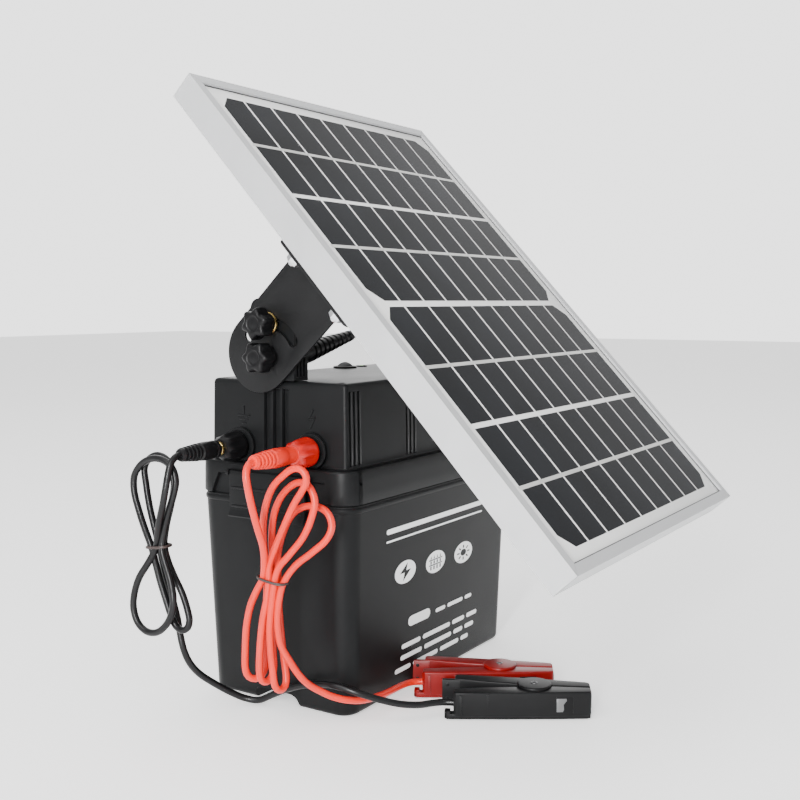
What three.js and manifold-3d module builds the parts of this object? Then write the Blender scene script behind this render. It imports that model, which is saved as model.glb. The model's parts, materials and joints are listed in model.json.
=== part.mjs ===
// Solar fence energizer: battery box, energizer head, tilting solar panel and two output leads.
// Millimetres, +Z up. The part is drawn about the centre of the battery box, standing on z = 0,
// with +X to the right of the label face, which looks along -Y. One group then moves it so that
// the origin is the bottom centre of the box around everything but the leads.
import * as THREE from 'three';
import { mergeVertices } from 'three/addons/utils/BufferGeometryUtils.js';
import Module from 'manifold-3d';

const wasm = await Module();
wasm.setup();

// ---- driving dimensions ----
const GAP = 0.3; // between pieces that touch
const ORIGIN_SHIFT_Y = 73.65; // from the box's centre to the origin of the whole part

const BOX_FOOT = { w: 189.6, d: 104.6, r: 11 }; // outside of the battery box on the floor
const BOX_RIM = { w: 198, d: 113, r: 12 }; // outside of the battery box at its shoulder
const BOX_WALL = 3;
const BOX_FLOOR_TOP = 10;
const SHOULDER_Z = 124;
const SPIGOT = { w: 193, d: 108, r: 9.5, height: 4 };
const CHANNEL = { width: 33, height: 7 }; // across the underside, between the feet

const BATTERY = { w: 151, d: 65, h: 94 }; // 12 V, 7 Ah
const SKIRT = { w: 200, d: 115, r: 13, z: SHOULDER_Z + GAP };
const LEDGE_Z = 144;
const HEAD_FOOT = { w: 186, d: 101, r: 4 };
const HEAD_TOP = { w: 184.4, d: 99.4, r: 4 };
const HEAD_TOP_Z = 193;
const HEAD_WALL = 3;
const TRAY = { w: 192, d: 107, r: 9, z: 130.6, t: 2.4 };
const FLUTES = {
  low: 146, high: 188.5, depth: 1.8, sideY: [-6.8, 0, 6.8], sideHalf: 2,
  groupX: [-82, -24, 24, 82], step: 4.6, half: 1.3,
};
const BUTTON = { x: 30, y: 38, r: 5.8, holeR: 6.2 };
const LENS = { x: 50, y: 38, r: 2.2, holeR: 2.5 };

const TERMINAL = { y: 26.5, z: 153.5, baseR: 9.2, knobR: 8.2, knobEnd: 112.5 };
const PV_PLUG_LENGTH = 72;
const PLUG = { start: 115.6, end: 146, r: 5.2, tailR: 3.8 };
const LEAD_R = 2;

const PIVOT = { y: 2, z: 207 }; // tilt axis of the panel
const LOCK_R = 19.5; // from the tilt axis to the lock stud
const LOCK_SLOT = {
  from: THREE.MathUtils.degToRad(-8), to: THREE.MathUtils.degToRad(104), half: 3.5,
};
const STUD_R = 2.7;
const MAST = { outer: 93.4, inner: 80.4, halfDepth: 16, top: 241 };
const EAR = { outer: 95.8, inner: 93.8, centre: 7.2, drop: 4.5, r: 23.4 };
const KNOB = { start: 96.1, end: 111, r: 9.6, lobes: 6 };

const TILT = THREE.MathUtils.degToRad(47);
const PANEL = { w: 250, l: 350, t: 17, faceUp: 86, centreDown: 36 };
const FRAME = { lip: 6, wall: 2, foot: 12, sheet: 1.5, ledge: 8 }; // one aluminium section, mitred
const LAMINATE = { inset: 3, top: 1.8, t: 3.5 };
const FLANGE = { from: -37, to: 26.6, t: 2 };
const FLANGE_BOLT = { x: 118, y: [15, -26], r: 2 };

const CLIP = { length: 79, rearHalf: 16, noseHalf: 8.5, height: 16, pivot: 46.5, bossR: 8.8, lift: 0.3 };
const CLIP_TURN = THREE.MathUtils.degToRad(-62.2);
const CLIP_PLACES = { earth: [-48.8, -95.5], fence: [-28.8, -62.5] };

// ---- materials ----
function finish(color, roughness, metalness = 0) {
  return new THREE.MeshStandardMaterial({ color, roughness, metalness });
}
const materials = {
  case: finish(0x17181a, 0.5),
  knobBlack: finish(0x101113, 0.42),
  rubber: finish(0x1b1c1e, 0.8),
  foam: finish(0x3a3b3d, 0.95),
  battery: finish(0x26282b, 0.55),
  brass: finish(0xc8a24a, 0.3, 1),
  zinc: finish(0xb9bcc0, 0.35, 1),
  steel: finish(0x1d1e20, 0.45, 0.3),
  aluminium: finish(0xcfd2d4, 0.32, 1),
  glass: finish(0x1a1c22, 0.12),
  board: finish(0x1f5a35, 0.6),
  copper: finish(0x8a4a2a, 0.45, 0.6),
  red: finish(0xe8401f, 0.45),
  knobRed: finish(0xd0281a, 0.4),
  clipRed: finish(0xb5221c, 0.45),
  lens: finish(0x9fd08a, 0.2),
};

// ---- solids ----
function toSolid(geometry) {
  const bare = geometry.clone();
  bare.deleteAttribute('normal');
  bare.deleteAttribute('uv');
  const merged = mergeVertices(bare, 1e-4);
  const triVerts = Uint32Array.from(merged.index.array);
  const vertProperties = Float32Array.from(merged.attributes.position.array);
  return new wasm.Manifold(new wasm.Mesh({ numProp: 3, vertProperties, triVerts }));
}

function fromSolid(solid) {
  const mesh = solid.getMesh();
  const geometry = new THREE.BufferGeometry();
  geometry.setAttribute('position', new THREE.BufferAttribute(Float32Array.from(mesh.vertProperties), 3));
  geometry.setIndex(Array.from(mesh.triVerts));
  geometry.computeVertexNormals();
  return geometry;
}

function join(...geometries) {
  return fromSolid(geometries.map(toSolid).reduce((a, b) => a.add(b)));
}

function cut(geometry, ...tools) {
  return fromSolid(tools.map(toSolid).reduce((a, b) => a.subtract(b), toSolid(geometry)));
}

function moved(geometry, x = 0, y = 0, z = 0) {
  return geometry.clone().translate(x, y, z);
}

function mirrored(geometry) {
  const copy = geometry.clone().scale(-1, 1, 1);
  const source = copy.index ? copy : mergeVertices(copy);
  const index = Array.from(source.index.array);
  for (let i = 0; i < index.length; i += 3) {
    [index[i], index[i + 1]] = [index[i + 1], index[i]];
  }
  source.setIndex(index);
  source.computeVertexNormals();
  return source;
}

// A box from its lowest to its highest corner.
function block(x0, y0, z0, x1, y1, z1) {
  const geometry = new THREE.BoxGeometry(x1 - x0, y1 - y0, z1 - z0);
  return geometry.translate((x0 + x1) / 2, (y0 + y1) / 2, (z0 + z1) / 2);
}

// A cylinder along +X from x0 to x1, about (y, z).
function rodX(radius, x0, x1, y, z, sides = 20) {
  const geometry = new THREE.CylinderGeometry(radius, radius, Math.abs(x1 - x0), sides);
  return geometry.rotateZ(Math.PI / 2).translate((x0 + x1) / 2, y, z);
}

function rodZ(radius, z0, z1, x, y, sides = 20) {
  const geometry = new THREE.CylinderGeometry(radius, radius, z1 - z0, sides);
  return geometry.rotateX(Math.PI / 2).translate(x, y, (z0 + z1) / 2);
}

// Points of a rounded rectangle, anticlockwise.
function roundedRect({ w, d, r }, steps = 4) {
  const points = [];
  const corners = [[1, 1, 0], [-1, 1, 1], [-1, -1, 2], [1, -1, 3]];
  for (const [sx, sy, quarter] of corners) {
    for (let i = 0; i <= steps; i += 1) {
      const angle = (quarter + i / steps) * Math.PI / 2;
      points.push([sx * (w / 2 - r) + r * Math.cos(angle), sy * (d / 2 - r) + r * Math.sin(angle)]);
    }
  }
  return points;
}

// A closed loft through rings of equal point counts, each a list of [x, y, z], lowest first.
function loft(rings) {
  const count = rings[0].length;
  const positions = rings.flat(2);
  const index = [];
  for (let k = 0; k < rings.length - 1; k += 1) {
    for (let i = 0; i < count; i += 1) {
      const next = (i + 1) % count;
      const [a, b] = [k * count + i, k * count + next];
      const [c, d] = [(k + 1) * count + i, (k + 1) * count + next];
      index.push(a, b, d, a, d, c);
    }
  }
  const last = (rings.length - 1) * count;
  for (let i = 1; i < count - 1; i += 1) {
    index.push(0, i + 1, i);
    index.push(last, last + i, last + i + 1);
  }
  const geometry = new THREE.BufferGeometry();
  geometry.setAttribute('position', new THREE.Float32BufferAttribute(positions, 3));
  geometry.setIndex(index);
  geometry.computeVertexNormals();
  return geometry;
}

// A loft of rounded rectangles, given as [rectangle, z] pairs from the lowest up.
function taper(...levels) {
  return loft(levels.map(([rect, z]) => roundedRect(rect).map(([x, y]) => [x, y, z])));
}

function shrunk({ w, d, r }, by) {
  return { w: w - 2 * by, d: d - 2 * by, r: Math.max(r - by, 1) };
}

// A solid of revolution about +X through (y, z): profile is [x, radius] pairs in the order of x.
function turnedX(profile, y, z, sides = 24) {
  const [first, last] = [profile[0], profile[profile.length - 1]];
  const points = [[first[0], 0], ...profile, [last[0], 0]].map(([x, r]) => new THREE.Vector2(r, x));
  const geometry = new THREE.LatheGeometry(points, sides);
  return mergeVertices(stripped(geometry)).rotateZ(-Math.PI / 2).translate(0, y, z);
}

function stripped(geometry) {
  geometry.deleteAttribute('normal');
  geometry.deleteAttribute('uv');
  return geometry;
}

// An outline in the (y, z) plane, extruded along +X from x0 to x1.
function plateX(shape, x0, x1, curveSegments = 16) {
  const depth = x1 - x0;
  const geometry = new THREE.ExtrudeGeometry(shape, { depth, bevelEnabled: false, curveSegments });
  const basis = new THREE.Matrix4().set(0, 0, 1, x0, 1, 0, 0, 0, 0, 1, 0, 0, 0, 0, 0, 1);
  return geometry.applyMatrix4(basis);
}

function plateZ(shape, z0, z1, curveSegments = 12) {
  const depth = z1 - z0;
  const geometry = new THREE.ExtrudeGeometry(shape, { depth, bevelEnabled: false, curveSegments });
  return geometry.translate(0, 0, z0);
}

// A tube along a smooth curve through points.
function tube(points, radius, steps, sides = 8) {
  const section = new THREE.Shape();
  for (let i = 0; i < sides; i += 1) {
    const angle = (i / sides) * 2 * Math.PI;
    const [x, y] = [radius * Math.cos(angle), radius * Math.sin(angle)];
    if (i === 0) {
      section.moveTo(x, y);
    } else {
      section.lineTo(x, y);
    }
  }
  section.closePath();
  const places = points.map((p) => new THREE.Vector3(...p));
  const path = new THREE.CatmullRomCurve3(places, false, 'centripetal');
  return new THREE.ExtrudeGeometry(section, { steps, extrudePath: path, bevelEnabled: false });
}

// A scalloped grip outline about (y, z) with the given number of lobes.
function lobedOutline(radius, lobes, depth, y, z) {
  const shape = new THREE.Shape();
  const count = lobes * 6;
  for (let i = 0; i < count; i += 1) {
    const angle = (i / count) * 2 * Math.PI;
    const r = radius - depth * (0.5 - 0.5 * Math.cos(lobes * angle));
    const point = [y + r * Math.cos(angle), z + r * Math.sin(angle)];
    if (i === 0) {
      shape.moveTo(...point);
    } else {
      shape.lineTo(...point);
    }
  }
  shape.closePath();
  return shape;
}

// ---- groups ----
const unit = new THREE.Group();
unit.position.y = ORIGIN_SHIFT_Y;
const tilted = new THREE.Group();
tilted.position.set(0, PIVOT.y, PIVOT.z);
tilted.rotation.x = TILT;
unit.add(tilted);

function piece(name, geometry, material, parent = unit) {
  const mesh = new THREE.Mesh(geometry, material);
  mesh.name = name;
  parent.add(mesh);
  return mesh;
}

// ---- battery box ----
function makeBatteryBox() {
  const outside = taper([BOX_FOOT, 0], [BOX_RIM, SHOULDER_Z]);
  const spigot = taper([SPIGOT, SHOULDER_Z - 1], [SPIGOT, SHOULDER_Z + SPIGOT.height]);
  const bottom = shrunk(BOX_FOOT, BOX_WALL);
  const top = shrunk(SPIGOT, BOX_WALL);
  const hollow = taper([bottom, BOX_FLOOR_TOP], [top, SHOULDER_Z + SPIGOT.height + 1]);
  const channel = block(-150, -CHANNEL.width / 2, -1, 150, CHANNEL.width / 2, CHANNEL.height);
  let body = cut(join(outside, spigot), hollow, channel);
  const [ribX, ribY] = [BATTERY.w / 2 + 1, BATTERY.d / 2 + 1];
  for (const side of [-1, 1]) {
    for (const y of [-18, 18]) {
      const ends = [side * ribX, side * (BOX_FOOT.w / 2 - 1.5)].sort((a, b) => a - b);
      body = join(body, block(ends[0], y - 1.5, BOX_FLOOR_TOP - 1, ends[1], y + 1.5, 60));
    }
    for (const x of [-45, 45]) {
      const ends = [side * ribY, side * (BOX_FOOT.d / 2 - 1.5)].sort((a, b) => a - b);
      body = join(body, block(x - 1.5, ends[0], BOX_FLOOR_TOP - 1, x + 1.5, ends[1], 60));
    }
  }
  return body;
}
piece('battery_box', makeBatteryBox(), materials.case);

const batteryTop = BOX_FLOOR_TOP + GAP + BATTERY.h;
piece('battery', taper(
  [{ w: BATTERY.w, d: BATTERY.d, r: 2 }, BOX_FLOOR_TOP + GAP],
  [{ w: BATTERY.w, d: BATTERY.d, r: 2 }, batteryTop],
), materials.battery);
for (const [name, y] of [['battery_tab_positive', -22], ['battery_tab_negative', 22]]) {
  const tabFoot = block(-70, y - 4, batteryTop + GAP, -60, y + 4, batteryTop + 1.3);
  const blade = block(-62, y - 2.4, batteryTop + 1, -61.2, y + 2.4, batteryTop + 8);
  piece(name, join(tabFoot, blade), materials.brass);
}
piece('battery_pad', block(-45, -25, batteryTop + GAP, 45, 25, 127), materials.foam);

// ---- energizer head ----
function flutes() {
  const { low, high, depth, sideY, sideHalf, groupX, step, half } = FLUTES;
  const tools = [];
  for (const side of [-1, 1]) {
    for (const y of sideY) {
      const x = side * HEAD_FOOT.w / 2;
      tools.push(block(x - depth, y - sideHalf, low, x + depth, y + sideHalf, high));
    }
    for (const centre of groupX) {
      for (const x of [centre - step, centre, centre + step]) {
        const y = side * HEAD_FOOT.d / 2;
        tools.push(block(x - half, y - depth, low, x + half, y + depth, high));
      }
    }
  }
  return tools;
}

function makeHousing() {
  const skirt = taper([SKIRT, SKIRT.z], [shrunk(SKIRT, 0.4), LEDGE_Z - 1], [shrunk(SKIRT, 1.6), LEDGE_Z]);
  const body = taper(
    [HEAD_FOOT, LEDGE_Z - 2],
    [HEAD_TOP, HEAD_TOP_Z - 2.4],
    [shrunk(HEAD_TOP, 0.7), HEAD_TOP_Z - 0.7],
    [shrunk(HEAD_TOP, 2.2), HEAD_TOP_Z],
  );
  const socket = shrunk(SPIGOT, -0.6);
  const hollow = taper([socket, SKIRT.z - 1], [socket, TRAY.z + 3]);
  const inside = taper(
    [shrunk(HEAD_FOOT, HEAD_WALL), TRAY.z + 2],
    [shrunk(HEAD_TOP, HEAD_WALL + 0.4), HEAD_TOP_Z - HEAD_WALL],
  );
  const holes = [];
  for (const y of [-TERMINAL.y, TERMINAL.y]) {
    holes.push(rodX(2.9, -97, -85, y, TERMINAL.z));
  }
  holes.push(rodZ(BUTTON.holeR, HEAD_TOP_Z - 6, HEAD_TOP_Z + 3, BUTTON.x, BUTTON.y));
  holes.push(rodZ(LENS.holeR, HEAD_TOP_Z - 6, HEAD_TOP_Z + 3, LENS.x, LENS.y, 12));
  return cut(join(skirt, body), hollow, inside, ...holes, ...flutes());
}
piece('energizer_housing', makeHousing(), materials.case);

function ringPlate(outer, inner, z0, z1) {
  return cut(taper([outer, z0], [outer, z1]), taper([inner, z0 - 1], [inner, z1 + 1]));
}
const rimTop = SHOULDER_Z + SPIGOT.height;
const gasket = ringPlate(shrunk(SPIGOT, 0.2), shrunk(SPIGOT, BOX_WALL), rimTop + GAP, TRAY.z - GAP);
piece('rim_gasket', gasket, materials.rubber);
piece('electronics_tray', cut(
  taper([TRAY, TRAY.z], [TRAY, TRAY.z + TRAY.t]),
  rodZ(7, TRAY.z - 1, TRAY.z + TRAY.t + 1, -60, 0),
), materials.case);
piece('circuit_board', block(-70, -35, 137, 70, 35, 138.6), materials.board);
piece('pulse_transformer', join(
  block(-62, -24, 139, -18, 24, 171),
  block(-54, -27, 143, -26, 27, 167),
), materials.copper);
piece('storage_capacitor', rodX(14, -8, 44, 0, 153.6, 24), materials.battery);

function makeMast() {
  const shape = new THREE.Shape();
  const { halfDepth, top } = MAST;
  const [low, round] = [HEAD_TOP_Z + GAP, 6];
  shape.moveTo(-halfDepth, low);
  shape.lineTo(halfDepth, low);
  shape.lineTo(halfDepth, top - round);
  shape.absarc(halfDepth - round, top - round, round, 0, Math.PI / 2, false);
  shape.lineTo(-halfDepth + round, top);
  shape.absarc(-halfDepth + round, top - round, round, Math.PI / 2, Math.PI, false);
  shape.closePath();
  const body = moved(plateX(shape, -MAST.outer, -MAST.inner, 6), 0, PIVOT.y, 0);
  const tools = [];
  for (const x of [-90, -86.9, -83.8]) {
    const y = PIVOT.y - halfDepth;
    tools.push(block(x - 0.8, y - 1.2, low + 2, x + 0.8, y + 1.2, top - 8));
  }
  for (const z of [PIVOT.z, PIVOT.z + LOCK_R]) {
    tools.push(rodX(STUD_R + GAP, -100, -84, PIVOT.y, z, 16));
  }
  return cut(body, ...tools);
}
// Moves a piece drawn along +X onto the rising axis of the panel lead's plug.
const PV = { x: -78.5, y: PIVOT.y + 4, z: 203.5, rise: THREE.MathUtils.degToRad(11) };
function alongPv(geometry) {
  return geometry.rotateY(-PV.rise).translate(PV.x, PV.y, PV.z);
}
const mast = makeMast();
const pvSocket = alongPv(turnedX([[-3.4, 8], [3.4, 8]], 0, 0, 20));
const socketBore = alongPv(rodX(4, -0.6, 9, 0, 0, 16));
piece('mast_left', cut(join(mast, pvSocket), socketBore), materials.case);
piece('mast_right', mirrored(mast), materials.case);

// Output terminals, each a base ring, a brass stud and a screw knob.
function makeTerminal(name, y, knobMaterial) {
  const { z, baseR, knobR, knobEnd } = TERMINAL;
  const ring = turnedX([[-96.5, baseR - 0.8], [-95.7, baseR], [-93.3, baseR]], y, z);
  piece(`${name}_terminal_base`, cut(ring, rodX(2.9, -98, -92, y, z)), materials.case);
  const stud = turnedX([
    [-knobEnd - 2.8, 3.4], [-knobEnd - 2.2, 4.2], [-knobEnd - GAP, 4.2], [-knobEnd - GAP, 2.5], [-84, 2.5],
  ], y, z, 16);
  piece(`${name}_stud`, cut(stud, rodX(1.4, -knobEnd - 4, -knobEnd + 6, y, z, 10)), materials.brass);
  const grip = plateX(lobedOutline(knobR, 8, 1.1, y, z), -knobEnd, -101);
  const collar = turnedX([[-101.5, 7], [-96.8, 8]], y, z);
  piece(`${name}_knob`, cut(join(grip, collar), rodX(2.8, -knobEnd - 1, -96, y, z, 16)), knobMaterial);
}
makeTerminal('fence', -TERMINAL.y, materials.knobRed);
makeTerminal('earth', TERMINAL.y, materials.knobBlack);

// Spring latches over the joint between head and box.
function makeLatch() {
  const shape = new THREE.Shape();
  const outline = [
    [-100.4, 139.5], [-102.4, 139.5], [-103.2, 136], [-103.2, 116], [-104.6, 112],
    [-102.8, 112], [-101.2, 116], [-101.2, 135.5], [-100.4, 136],
  ];
  outline.forEach(([x, z], i) => (i ? shape.lineTo(x, z) : shape.moveTo(x, z)));
  shape.closePath();
  const profile = new THREE.ExtrudeGeometry(shape, { depth: 56, bevelEnabled: false });
  const basis = new THREE.Matrix4().set(1, 0, 0, 0, 0, 0, -1, 28, 0, 1, 0, 0, 0, 0, 0, 1);
  return profile.applyMatrix4(basis);
}
piece('latch_left', makeLatch(), materials.case);
piece('latch_right', mirrored(makeLatch()), materials.case);

// A solid of revolution about +Z, from [radius, z] pairs.
function turnedZ(profile, x, y, z, sides) {
  const geometry = new THREE.LatheGeometry(profile.map(([r, h]) => new THREE.Vector2(r, h)), sides);
  return stripped(geometry).rotateX(Math.PI / 2).translate(x, y, z);
}
const buttonProfile = [[0, 0], [BUTTON.r, 0], [BUTTON.r, 5.5], [5.2, 7.4], [3.6, 8.6], [0, 9.2]];
piece('power_button', turnedZ(buttonProfile, BUTTON.x, BUTTON.y, HEAD_TOP_Z - 5, 20), materials.rubber);
const lensProfile = [[0, 0], [LENS.r, 0], [LENS.r, 4], [1.4, 5], [0, 5.3]];
piece('pulse_lens', turnedZ(lensProfile, LENS.x, LENS.y, HEAD_TOP_Z - 4, 12), materials.lens);

// ---- tilt hardware on the masts ----
function makeStarKnob(z) {
  const grip = plateX(lobedOutline(KNOB.r, KNOB.lobes, 2.2, PIVOT.y, z), -KNOB.end, -KNOB.start - 4.5);
  const collar = turnedX([[-KNOB.start - 5, 6.2], [-KNOB.start, 6.2]], PIVOT.y, z);
  return cut(join(grip, collar), rodX(STUD_R + GAP, -KNOB.end + 4, -KNOB.start + 1, PIVOT.y, z, 16));
}
for (const [role, z] of [['pivot', PIVOT.z], ['lock', PIVOT.z + LOCK_R]]) {
  const knob = makeStarKnob(z);
  const stud = rodX(STUD_R, -KNOB.end + 4.4, -84.4, PIVOT.y, z, 16);
  piece(`${role}_knob_left`, knob, materials.knobBlack);
  piece(`${role}_knob_right`, mirrored(knob), materials.knobBlack);
  piece(`${role}_stud_left`, stud, materials.brass);
  piece(`${role}_stud_right`, mirrored(stud), materials.brass);
}

// ---- solar panel, drawn flat about the tilt axis: +Y up the slope, +Z out of the glass ----
const glassY = -PANEL.centreDown;
const backZ = PANEL.faceUp - PANEL.t;
const { lip, wall, foot, sheet, ledge } = FRAME;
const [slotTop, slotLow] = [-sheet, -5.6]; // the laminate sits between these
const section = [
  [0, 0], [lip, 0], [lip, slotTop], [wall + 0.5, slotTop],
  [wall + 0.5, slotLow], [ledge, slotLow], [ledge, slotLow - 1.4], [wall, slotLow - 1.4],
  [wall, sheet - PANEL.t], [foot, sheet - PANEL.t], [foot, -PANEL.t], [0, -PANEL.t],
];

// One mitred frame member along X, its outer face towards -Y, about the middle of the face.
function frameMember(length, across) {
  const half = length / 2;
  const rings = [-1, 1].map(
    (side) => section.map(([s, z]) => [side * (half - s - GAP / 2), -across / 2 + s, z]),
  );
  const count = section.length;
  const index = [];
  for (let i = 0; i < count; i += 1) {
    const next = (i + 1) % count;
    index.push(i, count + i, count + next, i, count + next, next);
  }
  const outline = section.map(([s, z]) => new THREE.Vector2(s, z));
  for (const [a, b, c] of THREE.ShapeUtils.triangulateShape(outline, [])) {
    index.push(a, c, b);
    index.push(count + a, count + b, count + c);
  }
  const geometry = new THREE.BufferGeometry();
  geometry.setAttribute('position', new THREE.Float32BufferAttribute(rings.flat(2), 3));
  geometry.setIndex(index);
  geometry.computeVertexNormals();
  return geometry;
}

function boltHoles(side, z0, z1) {
  return FLANGE_BOLT.y.map((y) => rodZ(FLANGE_BOLT.r + GAP, z0, z1, side * FLANGE_BOLT.x, y, 12));
}

const crossMember = frameMember(PANEL.w, PANEL.l);
const sideMember = frameMember(PANEL.l, PANEL.w);
piece('panel_frame_lower', moved(crossMember, 0, glassY, PANEL.faceUp), materials.aluminium, tilted);
piece('panel_frame_upper', moved(crossMember.clone().rotateZ(Math.PI), 0, glassY, PANEL.faceUp),
  materials.aluminium, tilted);
for (const [name, turn, side] of [['left', -1, -1], ['right', 1, 1]]) {
  const member = moved(sideMember.clone().rotateZ(turn * Math.PI / 2), 0, glassY, PANEL.faceUp);
  const holes = boltHoles(side, backZ - 1, backZ + 3);
  piece(`panel_frame_${name}`, cut(member, ...holes), materials.aluminium, tilted);
}
const glassTop = PANEL.faceUp - LAMINATE.top;
piece('solar_laminate', block(
  -PANEL.w / 2 + LAMINATE.inset, glassY - PANEL.l / 2 + LAMINATE.inset, glassTop - LAMINATE.t,
  PANEL.w / 2 - LAMINATE.inset, glassY + PANEL.l / 2 - LAMINATE.inset, glassTop,
), materials.glass, tilted);

const JUNCTION = { x0: 40, x1: 90, y0: -14, y1: 34, depth: 20 };
const junctionTop = glassTop - LAMINATE.t - GAP;
const junctionGland = rodX(5, JUNCTION.x0 - 8, JUNCTION.x0 + 1, 10, junctionTop - 11, 16);
piece('junction_box', cut(join(
  block(JUNCTION.x0, JUNCTION.y0, junctionTop - JUNCTION.depth, JUNCTION.x1, JUNCTION.y1, junctionTop),
  junctionGland,
), rodX(3.2, JUNCTION.x0 - 9, JUNCTION.x0 - 5, 10, junctionTop - 11, 16)), materials.case, tilted);

// L bracket: a round-ended ear with the pivot hole and the lock slot, and a flange under the frame.
function makeBracket() {
  const { outer, inner, centre, drop, r } = EAR;
  const top = backZ - GAP;
  const ear = new THREE.Shape();
  ear.moveTo(centre + r, top);
  ear.lineTo(centre - r, top);
  ear.lineTo(centre - r, -drop);
  ear.absarc(centre, -drop, r, Math.PI, 2 * Math.PI, false);
  ear.closePath();
  const hole = new THREE.Path();
  hole.absarc(0, 0, STUD_R + GAP, 0, 2 * Math.PI, false);
  ear.holes.push(hole);
  const { from, to, half } = LOCK_SLOT;
  const slot = new THREE.Path();
  slot.absarc(0, 0, LOCK_R + half, from, to, false);
  const [endY, endZ] = [LOCK_R * Math.cos(to), LOCK_R * Math.sin(to)];
  const [startY, startZ] = [LOCK_R * Math.cos(from), LOCK_R * Math.sin(from)];
  slot.absarc(endY, endZ, half, to, to + Math.PI, false);
  slot.absarc(0, 0, LOCK_R - half, to, from, true);
  slot.absarc(startY, startZ, half, from + Math.PI, from + 2 * Math.PI, false);
  ear.holes.push(slot);
  const flange = block(-PANEL.w / 2 + 0.5, FLANGE.from, top - FLANGE.t, -inner, FLANGE.to, top);
  return cut(join(plateX(ear, -outer, -inner, 7), flange), ...boltHoles(-1, top - 5, top + 5));
}
const bracket = makeBracket();
piece('bracket_left', bracket, materials.steel, tilted);
piece('bracket_right', mirrored(bracket), materials.steel, tilted);

const flangeLow = backZ - GAP - FLANGE.t;
FLANGE_BOLT.y.forEach((y, i) => {
  const place = i ? 'lower' : 'upper';
  const head = rodZ(4.3, flangeLow - GAP - 4, flangeLow - GAP, -FLANGE_BOLT.x, y, 6);
  const shank = rodZ(FLANGE_BOLT.r, flangeLow - 1, backZ + 2.5, -FLANGE_BOLT.x, y, 12);
  const bolt = join(head, shank);
  piece(`flange_bolt_left_${place}`, bolt, materials.zinc, tilted);
  piece(`flange_bolt_right_${place}`, mirrored(bolt), materials.zinc, tilted);
});

// ---- panel lead: plug in the socket on the left mast, cable to the junction box ----
const pvProfile = [[0, 3.2], [3.8, 3.2], [3.8, 6.6], [24, 6.6], [27, 5.8], [PV_PLUG_LENGTH, 3.4]];
piece('pv_plug', alongPv(turnedX(pvProfile, 0, 0, 20)), materials.rubber);
const pvTip = new THREE.Vector3(PV_PLUG_LENGTH + GAP, 0, 0);
pvTip.applyAxisAngle(new THREE.Vector3(0, 1, 0), -PV.rise).add(new THREE.Vector3(PV.x, PV.y, PV.z));
const glandEnd = new THREE.Vector3(JUNCTION.x0 - 5 - GAP, 10, junctionTop - 11);
glandEnd.applyAxisAngle(new THREE.Vector3(1, 0, 0), TILT).add(new THREE.Vector3(0, PIVOT.y, PIVOT.z));
const PV_ROUTE = [
  pvTip.toArray(), [2, 6, 219], [9, 3, 223.5], [14, -4, 230], [17, -14, 238], [20, -22, 244],
  [25, -28, 248.5], [30, glandEnd.y + 0.6, glandEnd.z - 0.4], glandEnd.toArray(),
];
piece('pv_cable', tube(PV_ROUTE, 2.4, 20), materials.rubber);

// ---- output leads ----
function makePlug(name, y, material) {
  const { start, end, r, tailR } = PLUG;
  const profile = [[-end, tailR]];
  for (let i = 0; i < 4; i += 1) {
    const x = -end + 2.5 + i * 3.6;
    const radius = tailR + (r - tailR) * ((i + 1) / 5);
    profile.push([x, radius], [x + 1.8, radius], [x + 1.8, radius - 0.6], [x + 3, radius - 0.6]);
  }
  profile.push([-127.5, r], [-start, r]);
  piece(`${name}_plug`, turnedX(profile, y, TERMINAL.z, 12), material);
}
makePlug('fence', -TERMINAL.y, materials.red);
makePlug('earth', TERMINAL.y, materials.rubber);

const tailX = -PLUG.end - GAP;
const straightX = tailX - 2;
const FENCE_DROP = [
  [tailX, -TERMINAL.y, TERMINAL.z], [straightX, -TERMINAL.y, TERMINAL.z], [-151.8, -26, 152],
  [-154, -24, 147.5], [-153, -20, 140], [-149, -16, 130], [-144.5, -14.5, 121], [-140.2, -16, 112],
];
const FENCE_TAIL = [
  [-127, -34.4, 37], [-122.5, -36.4, 30], [-116, -38.6, 23.5], [-110.5, -42, 18.5], [-107, -47.5, 14.8],
  [-102.5, -54, 12.8], [-96, -58.5, 11.2], [-87, -61, 10], [-76, -62, 9], [-64, -61.5, 8.5], [-52, -60, 8.2],
  [-43.5, -60.6, 8], [-39.3, -62.6, 8], [-37.1, -66, 8],
];
const EARTH_DROP = [
  [tailX, TERMINAL.y, TERMINAL.z], [straightX, TERMINAL.y, TERMINAL.z], [-152.5, 26.8, 153],
  [-156.3, 29.5, 150.8], [-156.5, 34.5, 148.6], [-153.8, 39, 146.4], [-151, 41.6, 143.4],
  [-150.2, 42, 140.6],
];
const EARTH_TAIL = [
  [-149, 29, 51], [-147, 29, 43], [-141, 30.5, 33], [-132, 31, 23], [-123, 27.5, 14],
  [-115, 22, 7.5], [-109, 15, 3.6], [-105.5, 6, 2.6], [-103.6, -4, 8.5], [-103, -14, 13.5],
  [-102.8, -26, 17.5], [-102.8, -38, 20], [-102.8, -50, 21], [-99.5, -61, 18.6], [-91.5, -71, 14],
  [-82, -79.5, 10], [-73, -86, 8.3], [-65, -90, 8], [-59.7, -94, 8], [-57.1, -99, 8],
];
piece('fence_lead_drop', tube(FENCE_DROP, LEAD_R, 12), materials.red);
piece('fence_lead_tail', tube(FENCE_TAIL, LEAD_R, 24), materials.red);
piece('earth_lead_drop', tube(EARTH_DROP, LEAD_R, 10), materials.rubber);
piece('earth_lead_tail', tube(EARTH_TAIL, LEAD_R, 34), materials.rubber);

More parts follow.
